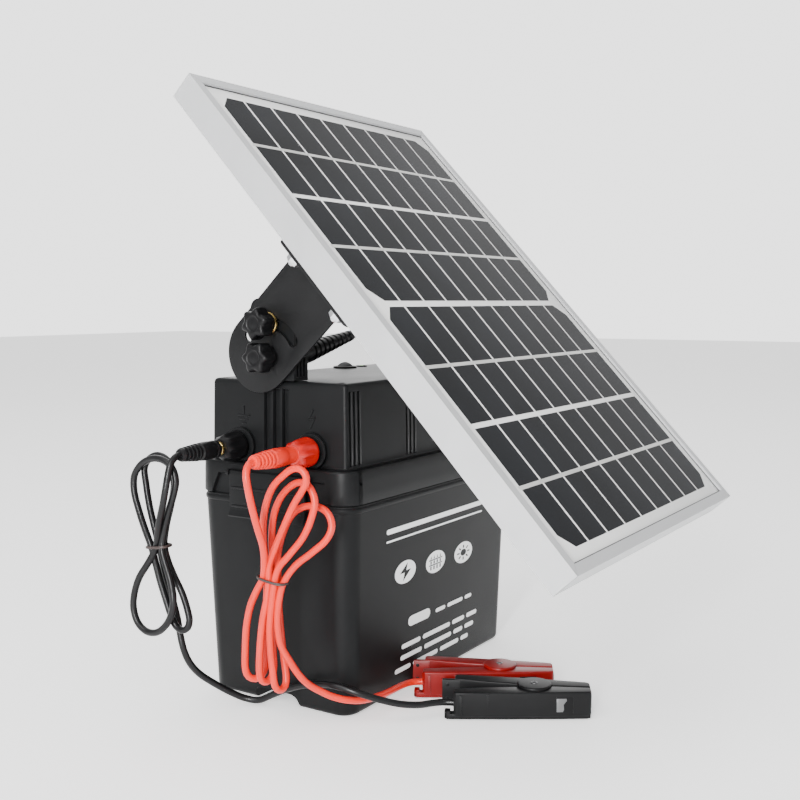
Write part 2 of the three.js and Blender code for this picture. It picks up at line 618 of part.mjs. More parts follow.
// The outline around two circles in the (y, z) plane, upper one first, both [y, z, radius].
function bundleOutline([y1, z1, r1], [y2, z2, r2]) {
  const distance = Math.hypot(y2 - y1, z2 - z1);
  const heading = Math.atan2(z2 - z1, y2 - y1);
  const spread = Math.acos((r1 - r2) / distance);
  const shape = new THREE.Shape();
  shape.absarc(y1, z1, r1, heading + spread, heading - spread + 2 * Math.PI, false);
  shape.absarc(y2, z2, r2, heading - spread, heading + spread, false);
  shape.closePath();
  return shape;
}
const fenceHank = bundleOutline([-35, 120, 26], [-17, 36, 14]);
const earthHank = bundleOutline([42, 120, 20], [41, 72, 20]);
piece('fence_lead_hank', plateX(fenceHank, -136, -120, 10), materials.red);
piece('earth_lead_hank', plateX(earthHank, -158, -142, 10), materials.rubber);

// Insulated clips lying on their sides, drawn with the nose along +X and the pivot axis upright.
function clipHalfShape(side) {
  const { length, rearHalf, noseHalf } = CLIP;
  const shape = new THREE.Shape();
  const outline = [
    [0, 8], [0, rearHalf - 1.5], [2, rearHalf], [length - 2, noseHalf], [length, noseHalf - 2],
    [length, 0.3], [57, 0.3], [52, 2], [38, 2.2], [20, 4.5],
  ];
  const points = side > 0 ? outline : outline.map(([x, y]) => [x, -y]).reverse();
  points.forEach(([x, y], i) => (i ? shape.lineTo(x, y) : shape.moveTo(x, y)));
  shape.closePath();
  return shape;
}

function makeClip(name, material) {
  const { height, pivot, bossR } = CLIP;
  const [low, high] = [4, height - 4];
  const pinHole = rodZ(2.3, -1, height + 3, pivot, 0, 12);
  const bar = plateZ(clipHalfShape(-1), 0, height);
  const lugs = [rodZ(bossR, 0, low, pivot, 0, 24), rodZ(bossR, high, height + 0.6, pivot, 0, 24)];
  const socket = rodZ(bossR + 0.6, low, high, pivot, 0, 24);
  const entry = block(-1, -12.5, 4.8, 1.5, -6, 11.2);
  const body = cut(join(bar, ...lugs), socket, pinHole, entry);
  const arm = cut(
    join(
      cut(plateZ(clipHalfShape(1), 0, height), rodZ(bossR + 0.6, -1, low + GAP, pivot, 0, 24),
        rodZ(bossR + 0.6, high - GAP, height + 1, pivot, 0, 24)),
      rodZ(bossR - 0.6, low + GAP, high - GAP, pivot, 0, 24),
    ),
    pinHole,
  );
  const group = new THREE.Group();
  group.position.set(...CLIP_PLACES[name], CLIP.lift);
  group.rotation.z = CLIP_TURN;
  unit.add(group);
  piece(`${name}_clip_body`, body, material, group);
  piece(`${name}_clip_arm`, arm, material, group);
  piece(`${name}_clip_pin`, rodZ(2, 0.2, height + 1.1, pivot, 0, 12), materials.zinc, group);
}
makeClip('fence', materials.clipRed);
makeClip('earth', materials.knobBlack);

export default unit;
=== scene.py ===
"""Solar fence energizer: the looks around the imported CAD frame.

Shapes are drawn in millimetres in the battery box's own frame (box centre, floor at z = 0) or in
the panel's frame (tilt axis, +Y up the slope, +Z out of the glass), then placed in metres.
"""
import json
import math

import bmesh
import bpy
from mathutils import Matrix, Vector
from mathutils.geometry import tessellate_polygon


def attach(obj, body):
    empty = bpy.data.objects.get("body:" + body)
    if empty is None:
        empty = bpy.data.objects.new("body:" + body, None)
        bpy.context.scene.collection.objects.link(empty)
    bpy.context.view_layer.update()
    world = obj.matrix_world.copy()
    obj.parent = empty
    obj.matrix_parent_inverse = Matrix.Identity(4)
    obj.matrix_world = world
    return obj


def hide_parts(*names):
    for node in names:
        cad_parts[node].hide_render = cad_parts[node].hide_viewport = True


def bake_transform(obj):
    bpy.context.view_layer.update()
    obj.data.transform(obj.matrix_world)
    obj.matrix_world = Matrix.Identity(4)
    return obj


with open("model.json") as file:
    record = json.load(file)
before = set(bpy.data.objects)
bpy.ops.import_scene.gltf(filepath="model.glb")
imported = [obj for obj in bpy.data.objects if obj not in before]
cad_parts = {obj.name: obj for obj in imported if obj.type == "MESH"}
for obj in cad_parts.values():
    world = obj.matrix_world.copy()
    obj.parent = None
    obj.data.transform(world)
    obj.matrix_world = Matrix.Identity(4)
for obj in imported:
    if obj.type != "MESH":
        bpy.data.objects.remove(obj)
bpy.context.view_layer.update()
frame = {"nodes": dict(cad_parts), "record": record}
scene = bpy.context.scene

# ---- frames ----
SHIFT_Y = 73.65  # mm from the battery box's centre to the origin of the row frame
BOX = Matrix.Translation((0, SHIFT_Y / 1000, 0)) @ Matrix.Scale(0.001, 4)
PIVOT_Y, PIVOT_Z, LOCK_R = 2.0, 207.0, 19.5
TILT = math.radians(47)
PANEL = BOX @ Matrix.Translation((0, PIVOT_Y, PIVOT_Z)) @ Matrix.Rotation(TILT, 4, "X")


def row(point):
    """A point of the battery box's frame, in the row frame, in metres."""
    return BOX @ Vector(point)


# ---- camera ----
YAW, PITCH, ROLL = (math.radians(v) for v in (57.358, 5.171, -0.082))
LENS, SENSOR = 49.122, 36.0  # mm
EYE = (-589.6, -404.4, 239.2)


def add_camera():
    data = bpy.data.cameras.new("camera")
    data.sensor_width = SENSOR
    data.lens = LENS
    data.clip_start = 0.02
    camera = bpy.data.objects.new("camera", data)
    scene.collection.objects.link(camera)
    ahead = Vector((math.sin(YAW) * math.cos(PITCH), math.cos(YAW) * math.cos(PITCH), -math.sin(PITCH)))
    right = Vector((math.cos(YAW), -math.sin(YAW), 0))
    above = right.cross(ahead)
    right, above = (right * math.cos(ROLL) + above * math.sin(ROLL),
                    above * math.cos(ROLL) - right * math.sin(ROLL))
    turn = Matrix((right, above, -ahead)).transposed().to_4x4()
    camera.matrix_world = Matrix.Translation(row(EYE)) @ turn
    scene.camera = camera


add_camera()


# ---- materials ----
MATERIALS = {}


def material(name, color, roughness, metallic=0.0, spread=0.06, tint=0.12, grain=(1800, 0.05), coat=0.0,
             blotch=45.0, specular=0.5, stretch=None, scratches=0.0):
    """A Principled material with procedural variation of colour and roughness, and a fine surface grain.

    spread and tint are how far roughness and colour vary, grain is (scale per metre, bump strength).
    """
    mat = bpy.data.materials.new(name)
    mat.use_nodes = True
    nodes, links = mat.node_tree.nodes, mat.node_tree.links
    shader = nodes["Principled BSDF"]
    shader.inputs["Metallic"].default_value = metallic
    shader.inputs["Coat Weight"].default_value = coat
    shader.inputs["Coat Roughness"].default_value = 0.06
    shader.inputs["Specular IOR Level"].default_value = specular
    place = nodes.new("ShaderNodeTexCoord")
    source = place.outputs["Object"]
    if stretch:
        mapping = nodes.new("ShaderNodeMapping")
        mapping.inputs["Scale"].default_value = stretch
        links.new(source, mapping.inputs["Vector"])
        source = mapping.outputs["Vector"]

    def noise(scale, detail):
        node = nodes.new("ShaderNodeTexNoise")
        node.inputs["Scale"].default_value = scale
        node.inputs["Detail"].default_value = detail
        links.new(source, node.inputs["Vector"])
        return node.outputs["Fac"]

    patches = noise(blotch, 4)
    fine = noise(grain[0], 2)
    tone = nodes.new("ShaderNodeValToRGB")
    low, high = ([min(1.0, c * k) for c in color] for k in (1 - tint, 1 + tint))
    tone.color_ramp.elements[0].position, tone.color_ramp.elements[1].position = 0.3, 0.7
    tone.color_ramp.elements[0].color = (*low, 1)
    tone.color_ramp.elements[1].color = (*high, 1)
    links.new(patches, tone.inputs["Fac"])
    links.new(tone.outputs["Color"], shader.inputs["Base Color"])
    rough = nodes.new("ShaderNodeMapRange")
    rough.inputs["To Min"].default_value = max(0.03, roughness - spread)
    rough.inputs["To Max"].default_value = min(1.0, roughness + spread)
    links.new(patches if scratches == 0 else noise(scratches, 6), rough.inputs["Value"])
    links.new(rough.outputs["Result"], shader.inputs["Roughness"])
    bump = nodes.new("ShaderNodeBump")
    bump.inputs["Strength"].default_value = grain[1]
    bump.inputs["Distance"].default_value = 0.0002
    links.new(fine, bump.inputs["Height"])
    links.new(bump.outputs["Normal"], shader.inputs["Normal"])
    MATERIALS[name] = mat


material("case_plastic", (0.0055, 0.0058, 0.0062), 0.38, grain=(2600, 0.22), blotch=30, specular=0.12)
material("battery_plastic", (0.05, 0.052, 0.056), 0.5, grain=(1500, 0.2))
material("foam", (0.09, 0.09, 0.095), 0.95, grain=(900, 0.9), tint=0.3)
material("brass", (0.78, 0.56, 0.2), 0.28, metallic=1, grain=(3000, 0.1), scratches=400)
material("seal_rubber", (0.03, 0.03, 0.032), 0.62, grain=(2200, 0.2))
material("circuit_board", (0.02, 0.16, 0.07), 0.4, grain=(700, 0.3), coat=0.3)
material("transformer", (0.32, 0.13, 0.05), 0.42, stretch=(1, 1, 12), grain=(500, 0.6))
material("knob_black", (0.004, 0.004, 0.0044), 0.34, grain=(2400, 0.14), specular=0.16)
material("knob_red", (0.4, 0.004, 0.002), 0.26, grain=(2000, 0.08), specular=0.5)
material("bracket_steel", (0.007, 0.0071, 0.0075), 0.47, grain=(2100, 0.4), blotch=70, specular=0.14)
material("zinc_steel", (0.72, 0.73, 0.75), 0.3, metallic=1, grain=(2500, 0.1), scratches=600)
material("panel_aluminium", (0.52, 0.525, 0.535), 0.42, metallic=0.4, tint=0.03,
         grain=(2600, 0.12), stretch=(0.15, 1, 1), scratches=900)
material("solar_glass", (0.74, 0.74, 0.73), 0.45, coat=0.1, grain=(900, 0.02), tint=0.02)
material("cell", (0.003, 0.0038, 0.0056), 0.22, grain=(1200, 0.03), tint=0.35, blotch=22, specular=0.08)
material("ribbon", (0.6, 0.6, 0.58), 0.4, metallic=0.5, coat=0.1, grain=(1500, 0.1))
material("lens", (0.35, 0.6, 0.28), 0.12, grain=(500, 0.02), coat=0.6)
material("lead_red", (0.68, 0.016, 0.004), 0.35, grain=(1500, 0.08), tint=0.07, blotch=60, specular=0.4)
material("lead_black", (0.005, 0.005, 0.0055), 0.3, grain=(1500, 0.1), blotch=60, specular=0.25)
material("clip_red", (0.17, 0.0015, 0.0015), 0.34, grain=(1500, 0.1), specular=0.26)
material("clip_black", (0.005, 0.0051, 0.0055), 0.42, grain=(1700, 0.16), specular=0.16)
material("jaw_steel", (0.2, 0.203, 0.207), 0.34, metallic=1, grain=(2500, 0.1), scratches=500)
material("label_print", (0.86, 0.87, 0.87), 0.42, grain=(2500, 0.05), tint=0.03)
material("cable_tie", (0.03, 0.018, 0.016), 0.45, grain=(2000, 0.1))

for entry in frame["record"]["subparts"]:
    node = frame["nodes"][entry["node"]]
    node.data.materials.clear()
    node.data.materials.append(MATERIALS[entry["material_slot"]])


def soften(node, width, segments=2, angle=35):
    """Rounds the sharp edges of a carried-over CAD node."""
    obj = frame["nodes"][node]
    for face in obj.data.polygons:
        face.use_smooth = True
    obj.data.set_sharp_from_angle(angle=math.radians(angle))
    bevel = obj.modifiers.new("edges", "BEVEL")
    bevel.width, bevel.segments = width / 1000, segments
    bevel.limit_method, bevel.angle_limit = "ANGLE", math.radians(angle)
    bevel.harden_normals = True
    return obj


# ---- mesh parts: each returns (points, faces) in millimetres ----
def merge(*parts):
    points, faces = [], []
    for more_points, more_faces in parts:
        base = len(points)
        points += list(more_points)
        faces += [[base + i for i in face] for face in more_faces]
    return points, faces


def placed(part, matrix):
    return [tuple(matrix @ Vector(p)) for p in part[0]], part[1]


def loft(rings, start=True, end=True, closed=True):
    """Quads between rings of equal point counts, with flat caps."""
    count = len(rings[0])
    points = [p for ring in rings for p in ring]
    faces = []
    for k in range(len(rings) - 1):
        for i in range(count if closed else count - 1):
            j = (i + 1) % count
            faces.append([k * count + i, k * count + j, (k + 1) * count + j, (k + 1) * count + i])
    if start:
        faces.append(list(range(count))[::-1])
    if end:
        faces.append([(len(rings) - 1) * count + i for i in range(count)])
    return points, faces


def circle(r, n, x=0.0, y=0.0, squash=1.0):
    angles = [2 * math.pi * i / n for i in range(n)]
    return [(x + r * math.cos(a), y + r * math.sin(a) * squash) for a in angles]


def turned(profile, n=48, lobes=0):
    """A solid of revolution about +X. profile is [(x, radius, lobe depth), ...]."""
    rings = []
    for station in profile:
        x, r = station[:2]
        cut = station[2] if len(station) > 2 else 0.0
        ring = []
        for i in range(n):
            angle = 2 * math.pi * i / n
            radius = r - cut * (0.5 - 0.5 * math.cos(lobes * angle)) ** 0.8 if cut else r
            ring.append((x, radius * math.cos(angle), radius * math.sin(angle)))
        rings.append(ring)
    return loft(rings)


def at(x, y, z, axis="x", turn=0.0):
    """Places a part turned about +X so that it runs along the given axis from (x, y, z)."""
    spin = {"x": Matrix.Identity(4), "-x": Matrix.Rotation(math.pi, 4, "Z"),
            "z": Matrix.Rotation(-math.pi / 2, 4, "Y"), "-z": Matrix.Rotation(math.pi / 2, 4, "Y"),
            "-y": Matrix.Rotation(-math.pi / 2, 4, "Z")}[axis]
    return Matrix.Translation((x, y, z)) @ spin @ Matrix.Rotation(turn, 4, "X")


def shifted(outline, into):
    """The outline moved to its left by a distance, which is into the material for an anticlockwise
    outside and a clockwise hole."""
    result = []
    count = len(outline)
    for i in range(count):
        before, here, after = (Vector(outline[(i + k) % count]) for k in (-1, 0, 1))
        first, second = (here - before).normalized(), (after - here).normalized()
        normals = Vector((-first.y, first.x)), Vector((-second.y, second.x))
        middle = (normals[0] + normals[1]).normalized()
        reach = into / max(middle.dot(normals[0]), 0.4)
        result.append(tuple(here + middle * reach))
    return result


def clockwise(outline):
    area = sum(a[0] * b[1] - b[0] * a[1] for a, b in zip(outline, outline[1:] + outline[:1]))
    return area < 0


PLANES = {
    "xy": lambda u, v, w: (u, v, w),
    "yz": lambda u, v, w: (w, u, v),
    "xz": lambda u, v, w: (u, -w, v),
}


def prism(outline, low, high, holes=(), edge=0.4, plane="xy", steps=2):
    """An outline with holes, extruded from low to high, with rounded edges."""
    loops = [outline if not clockwise(outline) else outline[::-1]]
    loops += [hole if clockwise(hole) else hole[::-1] for hole in holes]
    turn = [math.pi / 2 * k / steps for k in range(steps + 1)]
    levels = [(low + edge * (1 - math.cos(a)), edge * (1 - math.sin(a))) for a in turn]
    levels += [(high - edge * (1 - math.cos(a)), edge * (1 - math.sin(a))) for a in turn[::-1]]
    place = PLANES[plane]
    parts, caps = [], [[], []]
    for loop in loops:
        rings = [[place(u, v, w) for u, v in shifted(loop, into)] for w, into in levels]
        parts.append(loft(rings, start=False, end=False))
        for which, (w, into) in enumerate((levels[0], levels[-1])):
            caps[which].append([Vector((u, v, 0)) for u, v in shifted(loop, into)])
    for which, w in enumerate((low, high)):
        flat = [p for loop in caps[which] for p in loop]
        triangles = [list(t) for t in tessellate_polygon(caps[which])]
        parts.append(([place(p.x, p.y, w) for p in flat], triangles))
    return merge(*parts)


def brick(x0, y0, z0, x1, y1, z1, edge=0.4):
    return prism([(x0, y0), (x1, y0), (x1, y1), (x0, y1)], z0, z1, edge=edge)


def arc(cx, cy, r, start, end, steps):
    """Points of an arc, angles in degrees."""
    span = [math.radians(start + (end - start) * i / steps) for i in range(steps + 1)]
    return [(cx + r * math.cos(a), cy + r * math.sin(a)) for a in span]


def hull_box(w, d, r, steps=5):
    corners = ((1, 1, 0), (-1, 1, 90), (-1, -1, 180), (1, -1, 270))
    hx, hy = w / 2 - r, d / 2 - r
    return [p for sx, sy, a in corners for p in arc(sx * hx, sy * hy, r, a, a + 90, steps)]


def catmull(points, step):
    """Points about a step apart along a centripetal Catmull-Rom curve through the given ones."""
    pts = [Vector(p) for p in points]
    pts = [2 * pts[0] - pts[1], *pts, 2 * pts[-1] - pts[-2]]
    out = []
    for i in range(1, len(pts) - 2):
        p0, p1, p2, p3 = pts[i - 1: i + 3]
        t1 = max((p1 - p0).length, 1e-6) ** 0.5
        t2 = t1 + max((p2 - p1).length, 1e-6) ** 0.5
        t3 = t2 + max((p3 - p2).length, 1e-6) ** 0.5
        count = max(2, round((p2 - p1).length / step))
        for k in range(count):
            t = t1 + (t2 - t1) * k / count
            a1 = p0 * ((t1 - t) / t1) + p1 * (t / t1)
            a2 = p1 * ((t2 - t) / (t2 - t1)) + p2 * ((t - t1) / (t2 - t1))
            a3 = p2 * ((t3 - t) / (t3 - t2)) + p3 * ((t - t2) / (t3 - t2))
            b1 = a1 * ((t2 - t) / t2) + a2 * (t / t2)
            b2 = a2 * ((t3 - t) / (t3 - t1)) + a3 * ((t - t1) / (t3 - t1))
            out.append(b1 * ((t2 - t) / (t2 - t1)) + b2 * ((t - t1) / (t2 - t1)))
    out.append(pts[-2])
    return out


def sweep(points, radius, n=12, closed=False):
    """A tube along points, with a section that doesn't twist."""
    pts = [Vector(p) for p in points]
    count = len(pts)
    rings = []
    side = None
    for i, here in enumerate(pts):
        before = pts[(i - 1) % count] if closed or i else here
        after = pts[(i + 1) % count] if closed or i < count - 1 else here
        along = (after - before).normalized()
        if side is None:
            side = along.orthogonal().normalized()
        side = (side - along * side.dot(along)).normalized()
        other = along.cross(side)
        rings.append([tuple(here + side * u + other * v) for u, v in circle(radius, n)])
    if closed:
        return loft([*rings, rings[0]], start=False, end=False)
    return loft(rings)


# ---- pieces ----
def piece(name, part, body, slot, place=BOX, stands_for=(), angle=32):
    """An object from a part in millimetres. With no body, it is left unattached."""
    mesh = bpy.data.meshes.new(name)
    mesh.from_pydata([place @ Vector(p) for p in part[0]], [], part[1])
    mesh.validate()
    obj = bpy.data.objects.new(name, mesh)
    scene.collection.objects.link(obj)
    bpy.context.view_layer.objects.active = obj
    work = bmesh.new()
    work.from_mesh(mesh)
    bmesh.ops.remove_doubles(work, verts=work.verts, dist=1e-7)
    bmesh.ops.recalc_face_normals(work, faces=work.faces)
    work.to_mesh(mesh)
    work.free()
    mesh.materials.append(MATERIALS[slot])
    for face in mesh.polygons:
        face.use_smooth = True
    mesh.set_sharp_from_angle(angle=math.radians(angle))
    if body:
        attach(obj, body)
    if stands_for:
        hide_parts(*stands_for)
    return obj


def mirror_x(part):
    return [(-x, y, z) for x, y, z in part[0]], [face[::-1] for face in part[1]]


# ---- leads first: each is one line from its plug through its hank to its clip ----
LEAD_D = 4.0
TERMINAL_Y, TERMINAL_Z = 26.5, 153.5
RED_ROUTE = [
    (-141, -26.5, 153.5), (-146.3, -26.5, 153.5), (-149.4, -26.8, 152.6), (-151.8, -27.4, 150.2),
    (-152.8, -28, 146.6), (-152, -28.3, 141), (-148, -27.5, 130), (-143.5, -27.5, 117.5),
    (-138, -26.5, 106.5), (-134, -24, 96),
    # down through the tie, and the lower loop on the left
    (-131.6, -20.8, 86.5), (-132, -16.5, 79), (-133, -13, 71), (-134, -10.8, 60), (-134, -9.5, 47.5),
    (-134, -9.5, 33), (-132.4, -10.5, 29), (-129.3, -12.5, 27.3), (-126.1, -14.5, 29),
    (-124.5, -15.5, 33), (-124.4, -15.6, 48.5), (-125, -17.3, 68), (-126.5, -19.3, 79),
    # up through the tie, and the tallest upper loop
    (-127.2, -19.8, 87), (-128.2, -19, 102), (-130, -20, 115.5), (-131.5, -23.5, 128), (-133, -30, 139),
    (-133.8, -38, 146), (-133.8, -43.4, 149.6), (-133.4, -48.3, 150.4), (-132.8, -51.8, 147.8),
    (-132.2, -52, 143.4), (-131.7, -48.8, 138.2), (-131.5, -43.5, 131), (-131.8, -36.5, 118),
    (-132, -30, 104.5), (-131.8, -25.8, 95),
    # down, and the second lower loop
    (-131.6, -25, 86), (-132.2, -23.8, 75), (-133, -21.5, 63.5), (-134, -20, 46), (-134.2, -19.8, 32.5),
    (-132.6, -20, 28.7), (-128.9, -20.4, 27), (-125.2, -20.8, 28.7), (-123.6, -20.9, 32.5),
    (-123.7, -20.8, 45), (-125, -21, 62), (-126.6, -22.8, 77),
    # up again, and the second upper loop
    (-127.2, -23.9, 86), (-125.2, -22.4, 99), (-123.4, -20.8, 111), (-123.2, -23.5, 124.5),
    (-124, -31, 135), (-125, -41, 141), (-125.5, -47.8, 140.3), (-126, -52.8, 133), (-126.5, -51, 123),
    (-127.5, -46, 112), (-129.8, -38, 101.5), (-131.2, -31.5, 93.5),
    # down, and the lowest loop
    (-131.6, -29, 85), (-131.8, -26.8, 72), (-132, -25.5, 58), (-131.2, -25.6, 44), (-130.8, -26.3, 35),
    (-130.4, -26.9, 28), (-128.8, -27.3, 24.2), (-125.1, -27.7, 22.5), (-121.4, -27.6, 24.2),
    (-119.8, -27, 28), (-119.4, -25.4, 37), (-119.5, -23.8, 49), (-122, -24.2, 66), (-125.4, -26.6, 78),
    # up a third time, and the round loop on the right
    (-127.2, -28, 86), (-123.5, -25, 99), (-119.8, -26, 111), (-118.2, -31.5, 121.5),
    (-118, -40.5, 126.8), (-118.4, -50.3, 127.3), (-118.9, -56.8, 124.2), (-119.4, -59.3, 118),
    (-120.8, -57, 111), (-123.3, -48.5, 102.8), (-126.4, -39.5, 95),
    # down in front of the tie, and off to the clip
    (-129.2, -32.9, 84.5), (-130, -30.3, 73), (-129.8, -29.3, 61), (-128.6, -30.6, 49.5),
    (-125.8, -34.8, 40), (-121.4, -38.4, 31), (-116, -40.5, 25), (-110.5, -43.8, 20.5),
    (-107, -48.5, 17.5), (-102.5, -54.2, 15.2), (-96, -58.7, 13.4), (-87, -61, 12), (-76, -62, 10.8),
    (-64, -61.5, 9.8), (-52, -60.4, 8.8), (-43.5, -60.8, 8.2), (-39.3, -62.8, 8), (-37.1, -66, 8),
    (-36, -69, 8),
]
BLACK_ROUTE = [
    (-141, 26.5, 153.5), (-146.3, 26.5, 153.5), (-150, 26.3, 152.5), (-153.2, 26.4, 149.3),
    (-155, 26.9, 143), (-156.2, 27.8, 135), (-156.2, 30, 126.5), (-155.4, 33.5, 117.5),
    (-154.2, 36.6, 108.5),
    # down through the tie, and the wide lower loop
    (-153, 39, 101), (-154.2, 44, 92), (-156, 50, 82.5), (-156.8, 53.3, 73), (-157, 54, 64.5),
    (-156.8, 51, 56.5), (-156.5, 44.5, 52.3), (-156.2, 36.5, 53), (-155.8, 29.5, 58.5),
    (-155.4, 25.2, 66.5), (-155, 24.6, 74.5), (-154.2, 27.5, 84), (-153.4, 32, 93),
    # up through the tie, and the wide upper loop
    (-152.8, 34.8, 101), (-152, 33.5, 111), (-151.5, 30.3, 122), (-151, 26.7, 132), (-150.5, 25.3, 140),
    (-150.3, 28.3, 147), (-150.2, 35.5, 150.7), (-150.2, 44, 150.7), (-150.3, 52, 147),
    (-150.4, 57.7, 140), (-150.7, 58, 131.5), (-151.2, 54, 120.5), (-152, 48.5, 110),
    # down again, and the narrow fold on the right
    (-152.6, 43.3, 101), (-151.4, 41.3, 91), (-150.6, 38.8, 81), (-150.2, 35, 70.5),
    (-149.9, 30.6, 60.2), (-149.5, 28.3, 56.2), (-148.9, 24.2, 54.2), (-148.2, 20.6, 56.2),
    (-147.6, 19.7, 60.6), (-147.4, 21.4, 66.5), (-147.4, 25, 75), (-147.8, 31, 85), (-148.2, 35.3, 94),
    # up, and the narrow upper loop behind
    (-148.4, 37.2, 102), (-147.2, 36.4, 113), (-146, 33.3, 126), (-145.2, 31.8, 138), (-145, 35, 148.2),
    (-145, 42.5, 152), (-145, 49.5, 150.6), (-145.3, 54.6, 144.6), (-146, 53, 134.5), (-147, 49.5, 122),
    (-148, 44.8, 110),
    # down, and off to the clip
    (-148.5, 41.4, 101), (-146.4, 40.8, 91), (-144.8, 39.2, 80), (-143.2, 36.6, 68.5),
    (-142.6, 33.8, 58), (-143, 31.5, 49), (-142.5, 29.5, 40.5), (-139, 28.5, 32), (-132, 27.5, 23.5),
    (-123, 24, 15.5), (-115, 19.5, 9), (-109, 13.5, 4.6), (-105.5, 6, 3.6), (-103.8, -4, 8.5),
    (-103, -14, 13.5), (-102.8, -26, 18), (-102.8, -38, 21), (-102.8, -50, 22), (-99.5, -61, 19.6),
    (-91.5, -71, 15), (-82, -79.5, 11), (-73, -86, 9), (-65, -90, 8.3), (-59.7, -94, 8),
    (-57.1, -99, 8), (-56, -102, 8),
]


def line_length(points):
    return sum((b - a).length for a, b in zip(points, points[1:]))


def lead(name, route, slot, stands_for):
    """A lead as one round curve, and its length in metres."""
    line = [row(p) for p in catmull(route, 2.0)]
    data = bpy.data.curves.new(name, "CURVE")
    data.dimensions = "3D"
    data.bevel_depth = LEAD_D / 2000
    data.bevel_resolution = 4
    data.use_fill_caps = True
    spline = data.splines.new("POLY")
    spline.points.add(len(line) - 1)
    for point, place in zip(spline.points, line):
        point.co = (*place, 1)
    spline.use_smooth = True
    data.materials.append(MATERIALS[slot])
    obj = bpy.data.objects.new(name, data)
    scene.collection.objects.link(obj)
    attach(obj, "head")
    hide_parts(*stands_for)
    return obj, line_length(line)


red_lead, red_length = lead("fence_lead", RED_ROUTE, "lead_red",
                            ["fence_lead_drop", "fence_lead_hank", "fence_lead_tail"])
black_lead, black_length = lead("earth_lead", BLACK_ROUTE, "lead_black",
                                ["earth_lead_drop", "earth_lead_hank", "earth_lead_tail"])


def wire_tie(name, centre, half_x, half_y, lean):
    """A coated wire twice round a hank, with a short twist of its ends."""
    x, y, z = centre
    turns = []
    for i in range(49):
        angle = math.radians(20 + 720 * i / 48)
        c, s = math.cos(angle), math.sin(angle)
        across = abs(c) ** 0.7 * math.copysign(1, c), abs(s) ** 0.7 * math.copysign(1, s)
        turns.append((x + half_x * across[0], y + half_y * across[1], z + lean * across[1] + 1.1 * i / 48))
    first, last = turns[0], turns[-1]
    start = (first[0] + 3.5, first[1] - 2.5, first[2] - 3.5)
    end = (last[0] + 4.0, last[1] - 2.0, last[2] - 3.0)
    turns = [start, *turns, end]
    return piece(name, sweep(catmull(turns, 0.8), 0.55, 8), "head", "cable_tie")


red_tie = wire_tie("fence_lead_tie", (-129.4, -26, 85.5), 4.9, 9.3, 1.2)
black_tie = wire_tie("earth_lead_tie", (-150.7, 39.2, 100.6), 4.9, 7.4, -0.8)


# ---- plugs on the leads ----
def plug(name, y, slot, seat=0.0):
    """A moulded plug: a barrel, a waist and a ribbed tail, from the knob outwards. seat is how far
    its front sits inside the knob."""
    profile = [(0, 4.2), (0.25, 4.7), (0.8, 5.2), (3.2, 5.4), (3.6, 5.15), (4.6, 5.15), (5.0, 5.4),
               (11.5, 5.5), (12.3, 5.35), (14.5, 5.2)]
    if seat:
        profile = [(-seat, 3.6), (-seat + 0.3, 4.6), *[(x, r) for x, r in profile if x > 3.4]]
    x = 15.5
    for i in range(5):
        r = 5.15 - 0.27 * i
        profile += [(x, r - 0.75), (x + 0.9, r - 0.75), (x + 1.15, r - 0.15), (x + 1.35, r),
                    (x + 2.3, r - 0.05), (x + 2.5, r - 0.2)]
        x += 2.75
    profile += [(29.6, 3.7), (30.2, 3.4), (30.4, 2.8)]
    barrel = placed(turned(profile, 40), at(-115.6, y, TERMINAL_Z, "-x"))
    return piece(f"{name}_plug_moulded", barrel, "head", slot, stands_for=[f"{name}_plug"])


red_plug = plug("fence", -TERMINAL_Y, "lead_red", seat=4.6)
black_plug = plug("earth", TERMINAL_Y, "lead_black")

# ---- clips, drawn lying on their sides with the nose along +X ----
CLIP_TURN = math.radians(-62.2)
CLIP_PIVOT, CLIP_H = 46.5, 16.0


def clip_place(x, y):
    return BOX @ Matrix.Translation((x, y, 0.3)) @ Matrix.Rotation(CLIP_TURN, 4, "Z")


def clip_side(sign):
    """Outline of one handle and jaw seen from above, from its rear end to its nose."""
    outline = [(0, 8.3), (0, 14.7), (1.6, 16), (14, 15.1), (30, 13.9), (46, 12.4), (62, 10.6),
               (76.5, 8.8), (78.6, 7.8), (79, 6.4), (79, 0.5), (57, 0.5), (52.5, 2.0), (38, 2.4),
               (26, 3.6), (14, 5.6), (6, 7.3)]
    return [(x, sign * y) for x, y in outline]


